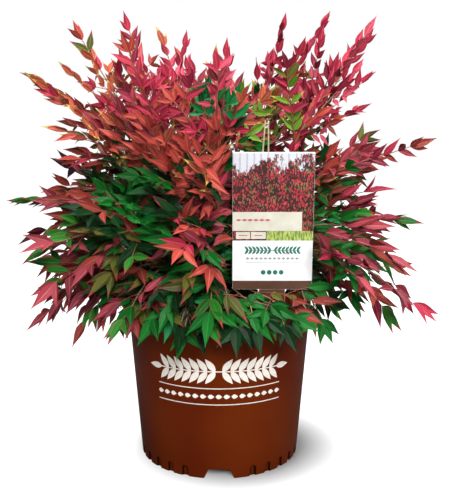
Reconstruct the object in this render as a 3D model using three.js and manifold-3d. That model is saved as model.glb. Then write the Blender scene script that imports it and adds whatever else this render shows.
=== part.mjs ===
// Heavenly bamboo: a young clump of canes in a round nursery pot, with a plant label.
// The canes rise from the potting mix and carry sprays of pointed leaves. A spray grows from one
// stem: ribs fan out from it, and each rib bears leaves in pairs and one at its tip.
// Millimetres and degrees. +Z is up, -Y is the front, and the origin is under the pot's centre.

import * as THREE from "three";
import { mergeVertices } from "three/addons/utils/BufferGeometryUtils.js";
import Module from "manifold-3d";

const wasm = await Module();
wasm.setup();

// ---------------------------------------------------------------- driving dimensions

const GAP = 0.3; // between pieces that touch on the real plant
const FINEST = 0.001; // corners closer than this are one
const SIDES_ROUND = 48; // facets round the pot

const POT = {
  height: 220,
  footRadius: 99.5, // outside, at the floor
  rimRadius: 117, // outside, at the rim, under the lip
  wall: 2.4,
  footWall: 3.6,
  lipProud: 3.2,
  lipHeight: 15,
  lipRound: 1.5,
  discRadius: 70, // flat disc in the middle of the underside
  discSlope: 5,
  channelHeight: 15, // open channel between the disc and the foot wall
  floor: 3,
};
const NOTCH = { count: 3, top: 25, bottom: 37, height: 12, depth: 24 };
const FLUTE = { perSide: 7, first: 24, step: 12, radius: 3.1, height: 12, bite: 1.8 };

const SOIL_LEVEL = 194;

const LABEL = {
  width: 92,
  height: 160,
  thickness: 1,
  bottom: 226, // lower edge of the card, above the rim
  x: 61.5,
  y: -80,
  lean: 5, // towards the front
  stakeTop: 34,
  stakeFoot: 18,
  stakeLength: 68,
  stakePoint: 10,
};
const EYE = { y: -1000, z: 436 }; // a reader in front, who sees the whole label
const WINDOW_MARGIN = 3;

const CANE = {
  count: 8, // in the ring; one more stands in the middle
  firstAngle: -92,
  step: -43.1, // leaves a gap in the ring behind the label
  footRing: 36,
  topRing: 72,
  top: 330,
  heartAngle: 60,
  heartFoot: 4, // its foot and its tip, off the pot's axis
  heartLean: 8,
  heartTop: 352,
  flareRadius: 6.4,
  footRadius: 4.6,
  tipRadius: 2.6,
  flareHeight: 16,
  sides: 5,
  stations: 5,
};

// A tier of sprays leaves the canes at one share of their height. Its tips lie at an elevation and
// a reach from the middle of the rim. Both vary from side to side; the reach is less front and back.
// Fork is the share of a spray's length before its side ribs, and rise how far it arches up.
const tier = (from, fork, tips) => ({ from, fork, elevationX: 0, reachX: 0, flatten: 0, rise: 0, ...tips });
const TIERS = {
  crown: tier(1, 0.3, { elevation: 61, elevationX: -4, reach: 350, reachX: 4, flatten: 24, rise: 0.03 }),
  upper: tier(0.76, 0.3, { elevation: 42, elevationX: -8, reach: 324, reachX: -24, flatten: 36, rise: 0.05 }),
  middle: tier(0.56, 0.28, { elevation: 20, reach: 278, reachX: -14, flatten: 20, rise: 0.08 }),
  skirt: tier(0.38, 0.28, { elevation: -3, elevationX: 2, reach: 270, reachX: 14, flatten: 34, rise: 0.13 }),
  apron: tier(0.25, 0.5, { elevation: -11, reach: 178, rise: 0.15 }),
};
const TURNS = { crown: 0, upper: 22, middle: -8, skirt: 14, apron: -8 };
const HEART = [
  tier(1, 0.3, { angle: 60, elevation: 90, reach: 300 }),
  tier(0.84, 0.34, { angle: 20, elevation: 65, reach: 362 }),
  tier(0.72, 0.34, { angle: 155, elevation: 76, reach: 310 }),
  tier(0.6, 0.34, { angle: 275, elevation: 78, reach: 280 }),
];

const SPRAY = {
  fork: 0.3, // share of its length over which a stem's rise is told
  stemRadius: 2.6,
  ribRadius: 1.05,
  ribTip: 1.05,
  ribSteps: 2, // straight stretches in a rib; a pair of leaves stands halfway along each
  turnJitter: 7,
  turnsAside: [0, 12, -12, 24, -24, 36, -36],
  elevationJitter: 4,
  reachJitter: 0.09,
  roll: 50,
  claims: 3, // points along each stretch that claim the space round them
};
// The ribs of a spray: turned aside and raised from its axis, with their share of its length.
const RIBS = [
  { aside: 0, raised: -4, share: 1 },
  { aside: -38, raised: 10, share: 0.8 },
  { aside: 38, raised: 6, share: 0.8 },
];
const LEAF = {
  length: 62,
  width: 24,
  thickness: 1.4,
  widestAt: 0.42,
  fold: 0.22, // how far the edges rise, as a share of the width
  sunk: 0.75, // root behind the rib's axis
  tipSunk: 1.2,
  tipShare: 0.95, // of its length beyond the rib's end
  lengthJitter: 0.14,
  angleJitter: 12,
  twistJitter: 26,
  tries: [
    // where room is short, a smaller leaf closer to its rib is tried
    { size: 1, angle: 48 },
    { size: 0.84, angle: 38 },
    { size: 0.68, angle: 28 },
  ],
};
const CLEAR = { cell: 1.6, limb: 1.5, rib: 6, pot: 3, leaf: 11 };

// ---------------------------------------------------------------- small tools

const rad = THREE.MathUtils.degToRad;
const UP = new THREE.Vector3(0, 0, 1);

/** A seeded source of numbers from 0 to 1 (Lehmer's rule), the same on every machine. */
function seeded(seed) {
  const modulus = 2147483647;
  let state = (seed * 7919 + 104729) % modulus;
  const next = () => (state = (state * 48271) % modulus) / modulus;
  next();
  next();
  return next;
}

/** A number from -1 to 1. */
const swing = (random) => 2 * random() - 1;

const along = (start, direction, distance) => start.clone().addScaledVector(direction, distance);

const turned = (vector, axis, degrees) => vector.clone().applyAxisAngle(axis, rad(degrees));

/** The unit vector at an angle round the pot and a lift above level. */
function heading(angle, lift) {
  const level = Math.cos(rad(lift));
  return new THREE.Vector3(
    level * Math.cos(rad(angle)),
    level * Math.sin(rad(angle)),
    Math.sin(rad(lift)),
  );
}

/** Distance from a point to the stretch between a and b. */
function distanceToStretch(point, a, b) {
  const run = b.clone().sub(a);
  const share = THREE.MathUtils.clamp(point.clone().sub(a).dot(run) / run.lengthSq(), 0, 1);
  return point.distanceTo(along(a, run, share));
}

/** A three.js geometry as a solid. */
function solidOf(geometry) {
  const bare = new THREE.BufferGeometry();
  bare.setAttribute("position", geometry.getAttribute("position"));
  bare.setIndex(geometry.getIndex());
  const merged = mergeVertices(bare, 1e-4);
  return new wasm.Manifold(
    new wasm.Mesh({
      numProp: 3,
      vertProperties: new Float32Array(merged.getAttribute("position").array),
      triVerts: new Uint32Array(merged.getIndex().array),
    }),
  );
}

/** A solid as a three.js geometry. */
function geometryOf(solid) {
  const mesh = solid.getMesh();
  const geometry = new THREE.BufferGeometry();
  geometry.setAttribute("position", new THREE.BufferAttribute(mesh.vertProperties, 3));
  geometry.setIndex(new THREE.BufferAttribute(mesh.triVerts, 1));
  geometry.computeVertexNormals();
  return geometry;
}

/** True where every edge still has two faces once close corners are one. */
function isSound(solid) {
  const index = mergeVertices(geometryOf(solid).deleteAttribute("normal"), FINEST).getIndex().array;
  const faces = new Map();
  for (let i = 0; i < index.length; i++) {
    const next = i % 3 === 2 ? i - 2 : i + 1;
    const edge = [index[i], index[next]].sort().join();
    faces.set(edge, (faces.get(edge) ?? 0) + 1);
  }
  return [...faces.values()].every((count) => count === 2);
}

/** The largest body of a solid: loose scraps go, and sealed hollows are filled. */
function largestBody(solid) {
  return solid.decompose().reduce((best, body) => (body.volume() > best.volume() ? body : best));
}

/** Closed faces from vertices and triangles. */
function facets(vertices, triangles) {
  const geometry = new THREE.BufferGeometry();
  const places = vertices.flatMap((vertex) => vertex.toArray());
  geometry.setAttribute("position", new THREE.Float32BufferAttribute(places, 3));
  geometry.setIndex(triangles.flat());
  return geometry;
}

/** A tapering limb with flat ends: a ring of corners at each point, the first one set across. */
function limbGeometry(points, radii, sides, firstCorner = new THREE.Vector3(1, 0, 0)) {
  const last = points.length - 1;
  const corners = [];
  const triangles = [];
  let across = firstCorner.clone();
  points.forEach((point, i) => {
    const tangent = points[Math.min(i + 1, last)].clone().sub(points[Math.max(i - 1, 0)]).normalize();
    across = across.addScaledVector(tangent, -across.dot(tangent)).normalize();
    for (let k = 0; k < sides; k++) {
      corners.push(along(point, turned(across, tangent, (360 * k) / sides), radii[i]));
    }
  });
  for (let i = 0; i < last; i++) {
    for (let k = 0; k < sides; k++) {
      const a = i * sides + k;
      const b = i * sides + ((k + 1) % sides);
      triangles.push([a, b, b + sides], [a, b + sides, a + sides]);
    }
  }
  for (let k = 1; k < sides - 1; k++) {
    triangles.push([0, k + 1, k], [last * sides, last * sides + k, last * sides + k + 1]);
  }
  return facets(corners, triangles);
}

/** A solid of revolution about Z from [radius, height] corners. */
function turnedGeometry(profile) {
  const points = profile.map(([radius, height]) => new THREE.Vector2(radius, height));
  return new THREE.LatheGeometry(points, SIDES_ROUND).rotateX(rad(90));
}

// ---------------------------------------------------------------- pot, mix and label

/** The pot's outside radius at a height. */
const potRadius = (z) => POT.footRadius + ((POT.rimRadius - POT.footRadius) * z) / POT.height;

function potSolid() {
  const channelOuter = POT.footRadius - POT.footWall;
  const lipFoot = POT.height - POT.lipHeight;
  const floorTop = POT.channelHeight + POT.floor;
  const lip = POT.rimRadius + POT.lipProud;
  let pot = solidOf(
    turnedGeometry([
      [0, 0],
      [POT.discRadius, 0],
      [POT.discRadius + POT.discSlope, POT.channelHeight],
      [channelOuter, POT.channelHeight],
      [channelOuter, 0],
      [potRadius(0), 0],
      [potRadius(lipFoot), lipFoot],
      [lip, lipFoot],
      [lip, POT.height - POT.lipRound],
      [lip - POT.lipRound, POT.height],
      [POT.rimRadius - POT.wall, POT.height],
      [potRadius(floorTop) - POT.wall, floorTop],
      [POT.discRadius + POT.discSlope - POT.floor, floorTop],
      [POT.discRadius - POT.floor, POT.floor],
      [0, POT.floor],
    ]),
  );
  const outline = new THREE.Shape([
    new THREE.Vector2(-NOTCH.bottom / 2, -1),
    new THREE.Vector2(NOTCH.bottom / 2, -1),
    new THREE.Vector2(NOTCH.top / 2, NOTCH.height),
    new THREE.Vector2(-NOTCH.top / 2, NOTCH.height),
  ]);
  for (let i = 0; i < NOTCH.count; i++) {
    const side = (360 / NOTCH.count) * i - 90;
    const notch = new THREE.ExtrudeGeometry(outline, { depth: NOTCH.depth, bevelEnabled: false })
      .rotateX(rad(90))
      .translate(0, -POT.discRadius - POT.discSlope - 2, 0)
      .rotateZ(rad(side + 90));
    pot = pot.subtract(solidOf(notch));
    for (let k = 0; k < FLUTE.perSide; k++) {
      const angle = side + FLUTE.first + FLUTE.step * k;
      const flute = new THREE.CylinderGeometry(FLUTE.radius, FLUTE.radius, 2 * FLUTE.height, 6)
        .rotateX(rad(90))
        .translate(POT.footRadius + FLUTE.radius - FLUTE.bite, 0, 0)
        .rotateZ(rad(angle));
      pot = pot.subtract(solidOf(flute));
    }
  }
  return pot;
}

function soilSolid() {
  const bottom = POT.floor + GAP;
  const shelf = POT.channelHeight + POT.floor + GAP;
  const inner = (z) => potRadius(z) - POT.wall - 2 * GAP;
  return solidOf(
    turnedGeometry([
      [0, bottom],
      [POT.discRadius - POT.floor - 1, bottom],
      [POT.discRadius + POT.discSlope - POT.floor - 1, shelf],
      [inner(shelf), shelf],
      [inner(SOIL_LEVEL), SOIL_LEVEL],
      [0, SOIL_LEVEL],
    ]),
  );
}

/** The label's card and its stake in one flat plate, grown by a margin all round. */
function labelSolid(margin = 0) {
  const halfCard = LABEL.width / 2 + margin;
  const halfTop = LABEL.stakeTop / 2 + margin;
  const halfFoot = LABEL.stakeFoot / 2 + margin;
  const shoulder = LABEL.stakePoint - LABEL.stakeLength;
  const half = [
    [halfCard, LABEL.height + margin],
    [halfCard, -margin],
    [halfTop, -margin],
    [halfFoot, shoulder],
    [0, -LABEL.stakeLength - 2 * margin],
  ];
  const corners = half.concat(half.slice(0, -1).reverse().map(([x, y]) => [-x, y]));
  const outline = new THREE.Shape(corners.map(([x, y]) => new THREE.Vector2(x, y)));
  const depth = LABEL.thickness + 2 * margin;
  const plate = new THREE.ExtrudeGeometry(outline, { depth, bevelEnabled: false })
    .translate(0, 0, -depth / 2)
    .rotateX(rad(90 + LABEL.lean))
    .translate(LABEL.x, LABEL.y, LABEL.bottom);
  return solidOf(plate);
}

// ---------------------------------------------------------------- where foliage may not go

/** The label's depth at a height. */
const labelDepth = (z) => LABEL.y - Math.tan(rad(LABEL.lean)) * (z - LABEL.bottom);

/** True in the wedge between the label and the reader's eye, and in the label itself. */
function hidesLabel(point) {
  if (point.y > labelDepth(point.z) + WINDOW_MARGIN) return false;
  const grow = (LABEL.y - EYE.y) / (point.y - EYE.y);
  const x = point.x * grow;
  const z = EYE.z + (point.z - EYE.z) * grow;
  return (
    Math.abs(x - LABEL.x) < LABEL.width / 2 + WINDOW_MARGIN &&
    z > LABEL.bottom - 2 * WINDOW_MARGIN &&
    z < LABEL.bottom + LABEL.height + WINDOW_MARGIN
  );
}

/** True in the pot, in its mix or just off its wall. */
function inPot(point) {
  if (point.z > POT.height + CLEAR.pot) return false;
  const lip = point.z > POT.height - POT.lipHeight - CLEAR.pot ? POT.lipProud : 0;
  return Math.hypot(point.x, point.y) < potRadius(point.z) + lip + CLEAR.pot;
}

// ---------------------------------------------------------------- canes

const canes = []; // { name, path, angle, points, radii }

/** A cane leaves the mix upright and then leans out to its tip. */
function addCane(name, angle, footRing, topRing, top) {
  const foot = heading(angle, 0).multiplyScalar(footRing).setZ(SOIL_LEVEL + GAP);
  const tip = heading(angle, 0).multiplyScalar(topRing).setZ(top);
  const knee = new THREE.Vector3(foot.x, foot.y, THREE.MathUtils.lerp(foot.z, tip.z, 0.35));
  const path = new THREE.QuadraticBezierCurve3(foot, knee, tip);
  const flare = CANE.flareHeight / (top - SOIL_LEVEL);
  const shares = [0, flare];
  for (let i = 1; i < CANE.stations; i++) {
    shares.push(flare + ((1 - flare) * i) / (CANE.stations - 1));
  }
  const radii = shares.map((share, i) => (i === 0 ? CANE.flareRadius : caneRadius(share)));
  canes.push({ name, path, angle, points: shares.map((share) => path.getPoint(share)), radii });
}

const caneRadius = (share) => THREE.MathUtils.lerp(CANE.footRadius, CANE.tipRadius, share);

/** True where a point lies on a cane, or closer to one than the clearance. */
function touchesCane(point, clearance) {
  return canes.some((cane) =>
    cane.points.slice(1).some((end, i) => {
      const reach = Math.max(cane.radii[i], cane.radii[i + 1]) + clearance;
      return distanceToStretch(point, cane.points[i], end) < reach;
    }),
  );
}

// ---------------------------------------------------------------- sprays

const sprays = []; // { name, random, tier, cane, tip, stem, side, ribs, claims, leaves }

/** The point where the tips of a tier lie at an angle round the pot. */
function tierTip(tier, angle, elevationShift, reachShare) {
  const elevation = tier.elevation + tier.elevationX * Math.cos(rad(angle)) + elevationShift;
  const reach = tier.reach + tier.reachX * Math.cos(rad(angle)) - tier.flatten * Math.sin(rad(angle)) ** 2;
  return heading(angle, elevation)
    .multiplyScalar(reach * reachShare)
    .add(new THREE.Vector3(0, 0, POT.height));
}

/** Adds a spray to a cane, turned aside where its stem has no room, or none where it finds no room. */
function addSpray(name, cane, tier, angle) {
  const random = seeded(sprays.length + 1);
  const turn = SPRAY.turnJitter * swing(random);
  const elevationShift = SPRAY.elevationJitter * swing(random);
  const reachShare = 1 + SPRAY.reachJitter * swing(random);
  for (const aside of SPRAY.turnsAside) {
    const aim = angle + turn + aside;
    const tip = tierTip(tier, aim, elevationShift, reachShare);
    const stem = stemTo(tip, cane, tier);
    if (stemIsFree(stem) && [0.3, 0.6, 1].every((share) => !hidesLabel(stem[1].clone().lerp(tip, share)))) {
      sprays.push({ name, random, tier, cane, tip, stem, ribs: [], leaves: [] });
      return;
    }
  }
}

/** The stem of a spray: from the cane, a gap clear of it, to the fork of its ribs. */
function stemTo(tip, cane, tier) {
  const leave = cane.path.getPoint(tier.from);
  const tangent = cane.path.getTangent(tier.from);
  const out = tip.clone().sub(leave).normalize();
  const run = out.multiplyScalar(SPRAY.fork).addScaledVector(UP, tier.rise).normalize();
  const cosine = run.dot(tangent);
  const sine = Math.sqrt(1 - cosine * cosine);
  const start =
    tier.from === 1
      ? along(leave, tangent, GAP + SPRAY.stemRadius * sine)
      : along(leave, run, (caneRadius(tier.from) + GAP + SPRAY.stemRadius * Math.abs(cosine)) / sine);
  return [start, along(start, run, tip.distanceTo(start) * tier.fork)];
}

const STEM_TESTS = [0.2, 0.3, 0.4, 0.5, 0.6, 0.7, 0.8, 0.9, 1]; // shares of a stem, past its foot

/** True where a stem has room: it may touch only the foot that it grows from. */
function stemIsFree([start, fork]) {
  const at = (share) => start.clone().lerp(fork, share);
  return (
    STEM_TESTS.every((share) => {
      const point = at(share);
      return !inPot(point) && !hidesLabel(point) && !touchesCane(point, SPRAY.stemRadius + 1);
    }) &&
    [0, 0.1, ...STEM_TESTS].every((share) =>
      sprays.every((other) => distanceToStretch(at(share), ...other.stem) > CLEAR.rib),
    )
  );
}

/** The points of a rib: an arc from the fork to its end, higher in the middle by its rise. */
function ribPath(fork, end, rise) {
  const middle = fork.clone().lerp(end, 0.5).addScaledVector(UP, 2 * rise * fork.distanceTo(end));
  const arc = new THREE.QuadraticBezierCurve3(fork, middle, end);
  return Array.from({ length: SPRAY.ribSteps + 1 }, (_, i) => arc.getPoint(i / SPRAY.ribSteps));
}

/** Lays out the ribs of a spray, the stem running on into the first; a rib ends where it has no room. */
function layRibs(spray) {
  const [start, fork] = spray.stem;
  const axis = spray.tip.clone().sub(fork);
  spray.side = UP.clone().cross(axis).normalize();
  const normal = axis.clone().cross(spray.side).normalize();
  for (const rib of RIBS) {
    const raised = turned(axis, spray.side, -rib.raised);
    const toTip = turned(raised, normal, rib.aside).multiplyScalar(rib.share);
    const end = along(fork, toTip, 1 - (LEAF.tipShare * LEAF.length) / toTip.length());
    const free = freeStretch(ribPath(fork, end, spray.tier.rise), spray);
    const points = rib.aside === 0 ? [start, ...free] : free;
    spray.ribs.push({ points, roll: SPRAY.roll * swing(spray.random) });
  }
}

const RIB_TESTS = [0.125, 0.25, 0.375, 0.5, 0.625, 0.75, 0.875, 1]; // shares of a stretch

/** The part of a rib, from its foot, that stays clear of pot, label, canes and other sprays. */
function freeStretch(points, spray) {
  const blocked = (point) =>
    inPot(point) ||
    hidesLabel(point) ||
    touchesCane(point, SPRAY.ribRadius + 2) ||
    sprays.some((other) => other !== spray && nearSpray(point, other));
  const end = points.findIndex((point, i) => {
    if (i === 0) return false;
    return RIB_TESTS.some((share) => blocked(points[i - 1].clone().lerp(point, share)));
  });
  return end < 0 ? points : points.slice(0, end);
}

const nearPath = (point, path, clearance) =>
  path.some((end, i) => i > 0 && distanceToStretch(point, path[i - 1], end) < clearance);

const nearSpray = (point, spray) =>
  [spray.stem, ...spray.ribs.map((rib) => rib.points)].some((path) => nearPath(point, path, CLEAR.rib));

/** The points that claim a spray's own space: along its ribs and the reach of their tip leaves. */
function claimsOf(spray) {
  const claims = [];
  const claim = (a, b) => {
    for (let i = 1; i <= SPRAY.claims; i++) claims.push(a.clone().lerp(b, i / SPRAY.claims));
  };
  for (const rib of spray.ribs) {
    const last = rib.points.length - 1;
    for (let i = 1; i <= last; i++) claim(rib.points[i - 1], rib.points[i]);
    if (last > 0) {
      const { run } = frameOf(spray, rib, last);
      claim(rib.points[last], along(rib.points[last], run, LEAF.length * LEAF.tipShare));
    }
  }
  return claims;
}

/** True where a point is closer to its own spray than to any other, with room to spare. */
function inOwnSpace(point, spray) {
  const own = Math.min(...spray.claims.map((claim) => claim.distanceTo(point)));
  return sprays.every(
    (other) => other === spray || other.claims.every((claim) => claim.distanceTo(point) > own + CLEAR.cell),
  );
}

/** The frame of a rib's stretch: the way it runs and the normal of its leaves. */
function frameOf(spray, rib, step) {
  const run = rib.points[step].clone().sub(rib.points[step - 1]).normalize();
  const level = spray.side.clone().addScaledVector(run, -spray.side.dot(run)).normalize();
  return { run, normal: turned(run.clone().cross(level), run, rib.roll) };
}

/** One leaf: a blade folded along its middle, as root, tip, two edges, back and keel. */
function bladeOf(root, direction, normal, length, width) {
  const side = direction.clone().cross(normal).normalize();
  const face = side.clone().cross(direction).normalize();
  const middle = along(root, direction, length * LEAF.widestAt);
  const edge = (sign) => along(along(middle, side, (sign * width) / 2), face, width * LEAF.fold);
  return {
    root,
    tip: along(root, direction, length),
    left: edge(-1),
    right: edge(1),
    back: along(middle, face, LEAF.thickness / 2),
    keel: along(middle, face, -LEAF.thickness / 2),
  };
}

/** Points spread over a blade, where it is tested for room. */
function bladeSamples(blade) {
  const samples = [blade.tip];
  for (const widest of [blade.left, blade.right, blade.back]) {
    samples.push(widest, widest.clone().lerp(blade.tip, 0.35), widest.clone().lerp(blade.tip, 0.7));
    samples.push(widest.clone().lerp(blade.root, 0.4));
  }
  return samples;
}

/** True where a blade has room: clear of its neighbours, and inside its spray's own space. */
function bladeFits(blade, spray, ownRib) {
  const line = [0.45, 0.7, 0.95].map((share) => blade.root.clone().lerp(blade.tip, share));
  const apart = line.every(
    (point) =>
      spray.leaves.every((leaf) => distanceToStretch(point, leaf.root, leaf.tip) > CLEAR.leaf) &&
      spray.ribs.every((rib) => rib === ownRib || !nearPath(point, rib.points, CLEAR.leaf)),
  );
  return (
    apart &&
    bladeSamples(blade).every(
      (point) =>
        !inPot(point) && !hidesLabel(point) && !touchesCane(point, CLEAR.limb) && inOwnSpace(point, spray),
    )
  );
}

/** Sets one leaf on a rib, or none where no size of it has room. */
function setLeaf(spray, rib, step, hand) {
  const last = rib.points.length - 1;
  const { run, normal } = frameOf(spray, rib, Math.min(step, last));
  const seat = hand === 0 ? rib.points[last] : rib.points[step - 1].clone().lerp(rib.points[step], 0.5);
  const sunk = hand === 0 ? LEAF.tipSunk : LEAF.sunk;
  for (const { size, angle } of LEAF.tries) {
    const stretch = size * (1 + LEAF.lengthJitter * swing(spray.random));
    const turn = hand * angle + LEAF.angleJitter * swing(spray.random);
    const twist = LEAF.twistJitter * swing(spray.random);
    const direction = turned(run, normal, turn);
    const root = along(seat, direction, -sunk);
    const length = LEAF.length * stretch + sunk;
    const blade = bladeOf(root, direction, turned(normal, direction, twist), length, LEAF.width * stretch);
    if (bladeFits(blade, spray, rib)) {
      spray.leaves.push(blade);
      return;
    }
  }
}

/** Sets the leaves of a spray: a pair halfway along each stretch of a rib, and one at its tip. */
function setLeaves(spray) {
  for (const rib of spray.ribs) {
    const last = rib.points.length - 1;
    if (last < 1) continue;
    for (let step = 1; step <= last; step++) {
      setLeaf(spray, rib, step, -1);
      setLeaf(spray, rib, step, 1);
    }
    setLeaf(spray, rib, last, 0);
  }
}

function bladeSolid({ root, tip, left, right, back, keel }) {
  const upper = [
    [0, 4, 2],
    [0, 3, 4],
    [1, 2, 4],
    [1, 4, 3],
  ];
  const lower = [
    [0, 2, 5],
    [0, 5, 3],
    [1, 5, 2],
    [1, 3, 5],
  ];
  return solidOf(facets([root, tip, left, right, back, keel], [...upper, ...lower]));
}

/** A cane grown by the gap all round, which trims the foot of a stem. */
function caneWithGap(cane) {
  const last = cane.points.length - 1;
  const ends = [...cane.points.slice(0, last), along(cane.points[last], cane.path.getTangent(1), GAP)];
  const grown = cane.radii.map((radius) => radius + GAP / Math.cos(Math.PI / CANE.sides));
  return solidOf(limbGeometry(ends, grown, CANE.sides));
}

/** A rib as a limb; the middle one starts on its cane's line, where its stem leaves from the side. */
function ribSolid(spray, rib) {
  const last = rib.points.length - 1;
  const isMiddle = rib === spray.ribs[0];
  const thick = isMiddle ? SPRAY.stemRadius : SPRAY.ribRadius;
  const radii = rib.points.map((_, i) => THREE.MathUtils.lerp(thick, SPRAY.ribTip, i / last));
  const fromSide = isMiddle && spray.tier.from < 1;
  const foot = fromSide ? spray.cane.path.getPoint(spray.tier.from) : rib.points[0];
  const points = [foot, ...rib.points.slice(1)];
  return solidOf(limbGeometry(points, radii, 3, frameOf(spray, rib, last).normal));
}

/** The whole spray as one solid: the side ribs join the middle one, and the leaves join them all. */
function spraySolid(spray) {
  const bare = spray.ribs
    .filter((rib) => rib.points.length > 1)
    .map((rib) => ribSolid(spray, rib))
    .reduce((whole, rib) => whole.add(rib))
    .subtract(caneWithGap(spray.cane));
  const leafy = spray.leaves.map(bladeSolid).reduce((whole, leaf) => {
    const joined = whole.add(leaf);
    return isSound(joined) ? joined : whole;
  }, bare);
  return largestBody(leafy);
}

// ---------------------------------------------------------------- the whole plant

function growPlant() {
  for (let i = 0; i < CANE.count; i++) {
    addCane(`cane_${i + 1}`, CANE.firstAngle + CANE.step * i, CANE.footRing, CANE.topRing, CANE.top);
  }
  const ring = [...canes];
  addCane("cane_heart", CANE.heartAngle, CANE.heartFoot, CANE.heartLean, CANE.heartTop);
  const heart = canes[CANE.count];
  HEART.forEach((own, i) => addSpray(i === 0 ? "heart_tip" : `heart_${i}`, heart, own, own.angle));
  for (const [name, tier] of Object.entries(TIERS)) {
    ring.forEach((cane, i) => addSpray(`${name}_${i + 1}`, cane, tier, cane.angle + TURNS[name]));
  }
  sprays.forEach(layRibs);
  for (const spray of sprays) {
    spray.claims = claimsOf(spray);
  }
  sprays.forEach(setLeaves);
}

const MATERIALS = {
  pot: new THREE.MeshStandardMaterial({ color: "#6b2a12", roughness: 0.45, metalness: 0 }),
  soil: new THREE.MeshStandardMaterial({ color: "#3a2618", roughness: 0.95, metalness: 0 }),
  label: new THREE.MeshStandardMaterial({ color: "#f4f5f1", roughness: 0.4, metalness: 0 }),
  cane: new THREE.MeshStandardMaterial({ color: "#7c6a4a", roughness: 0.85, metalness: 0 }),
  heart: new THREE.MeshStandardMaterial({ color: "#c02a4c", roughness: 0.5, metalness: 0 }),
  crown: new THREE.MeshStandardMaterial({ color: "#b82c46", roughness: 0.5, metalness: 0 }),
  upper: new THREE.MeshStandardMaterial({ color: "#b4403a", roughness: 0.5, metalness: 0 }),
  middle: new THREE.MeshStandardMaterial({ color: "#8c4a35", roughness: 0.5, metalness: 0 }),
  skirt: new THREE.MeshStandardMaterial({ color: "#1f7a33", roughness: 0.5, metalness: 0 }),
  apron: new THREE.MeshStandardMaterial({ color: "#17632f", roughness: 0.5, metalness: 0 }),
};

const plant = new THREE.Group();

function place(name, geometry, material) {
  const mesh = new THREE.Mesh(geometry, material);
  mesh.name = name;
  plant.add(mesh);
}

growPlant();
place("pot", geometryOf(potSolid()), MATERIALS.pot);
place("soil", geometryOf(soilSolid().subtract(labelSolid(GAP))), MATERIALS.soil);
place("label", geometryOf(labelSolid()), MATERIALS.label);
for (const cane of canes) {
  place(cane.name, limbGeometry(cane.points, cane.radii, CANE.sides), MATERIALS.cane);
}
for (const spray of sprays) {
  place(`spray_${spray.name}`, geometryOf(spraySolid(spray)), MATERIALS[spray.name.split("_")[0]]);
}

export default plant;
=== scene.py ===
"""Heavenly bamboo: a young clump in a moulded nursery pot, with a plant label.

The canes, sprays and ribs follow the growth rule of the part's solids, in the same order of random
draws. Here every rib is carried on to finer twigs and leaflets, inside the space of its spray.
The growth rule counts in millimetres and degrees; meshes are in metres. +Z is up, -Y is the front.
"""

import logging
import math
from collections.abc import Iterable, Sequence
from dataclasses import dataclass, field
from enum import Enum

import bpy
import numpy as np
from bpy.types import Material, Mesh, Node, NodeSocket, NodeTree, Object
from mathutils import Matrix, Vector


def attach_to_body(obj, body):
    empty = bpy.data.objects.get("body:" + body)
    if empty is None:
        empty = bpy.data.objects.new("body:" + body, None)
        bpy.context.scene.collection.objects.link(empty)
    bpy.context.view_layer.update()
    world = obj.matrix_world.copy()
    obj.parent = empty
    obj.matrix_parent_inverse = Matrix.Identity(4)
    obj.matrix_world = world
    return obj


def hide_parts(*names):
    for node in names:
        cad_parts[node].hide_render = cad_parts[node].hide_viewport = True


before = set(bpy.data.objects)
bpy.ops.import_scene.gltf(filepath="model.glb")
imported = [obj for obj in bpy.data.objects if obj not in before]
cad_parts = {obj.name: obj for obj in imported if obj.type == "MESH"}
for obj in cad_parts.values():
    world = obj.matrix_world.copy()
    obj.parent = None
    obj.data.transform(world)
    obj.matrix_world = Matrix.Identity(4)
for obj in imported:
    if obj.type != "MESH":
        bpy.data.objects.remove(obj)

LOG = logging.getLogger("heavenly_bamboo")
MM = 0.001
BODY = "root"
UP = np.array((0.0, 0.0, 1.0))
SOIL_LEVEL = 194

Point = np.ndarray
Flat = tuple[float, float]
Face = tuple[int, ...]


# ---------------------------------------------------------------- small tools


def vec(x: float, y: float, z: float) -> Point:
    """A point or direction."""
    return np.array((x, y, z), float)


def unit(v: Point) -> Point:
    """The direction of a vector."""
    return v / math.sqrt(float(v @ v))


def lerp(a: float | Point, b: float | Point, share: float) -> float | Point:
    """The value at a share of the way from a to b."""
    return a + (b - a) * share


def turned(v: Point, axis: Point, degrees: float) -> Point:
    """A vector turned round a unit axis.

    Args:
        v: the vector.
        axis: the axis.
        degrees: how far it turns.

    Returns:
        The turned vector.
    """
    angle = math.radians(degrees)
    c, s = math.cos(angle), math.sin(angle)
    return v * c + np.cross(axis, v) * s + axis * (float(axis @ v) * (1 - c))


def heading(angle: float, lift: float = 0.0) -> Point:
    """The unit vector at an angle round the pot and a lift above level."""
    a, e = math.radians(angle), math.radians(lift)
    return vec(math.cos(e) * math.cos(a), math.cos(e) * math.sin(a), math.sin(e))


def arc_point(a: Point, b: Point, c: Point, t: float) -> Point:
    """The point of a quadratic Bezier arc."""
    return a * (1 - t) ** 2 + b * (2 * t * (1 - t)) + c * t * t


def to_stretches(points: Point, starts: Point, ends: Point) -> Point:
    """Distances from points to straight stretches.

    Args:
        points: one row a point.
        starts: one row a stretch.
        ends: one row a stretch.

    Returns:
        One row a point, one column a stretch.
    """
    run = ends - starts
    away = points[:, None, :] - starts[None]
    share = np.einsum("psk,sk->ps", away, run) / np.maximum(np.einsum("sk,sk->s", run, run), 1e-12)
    near = starts[None] + np.clip(share, 0, 1)[..., None] * run[None]
    return np.linalg.norm(points[:, None, :] - near, axis=2)


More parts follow.
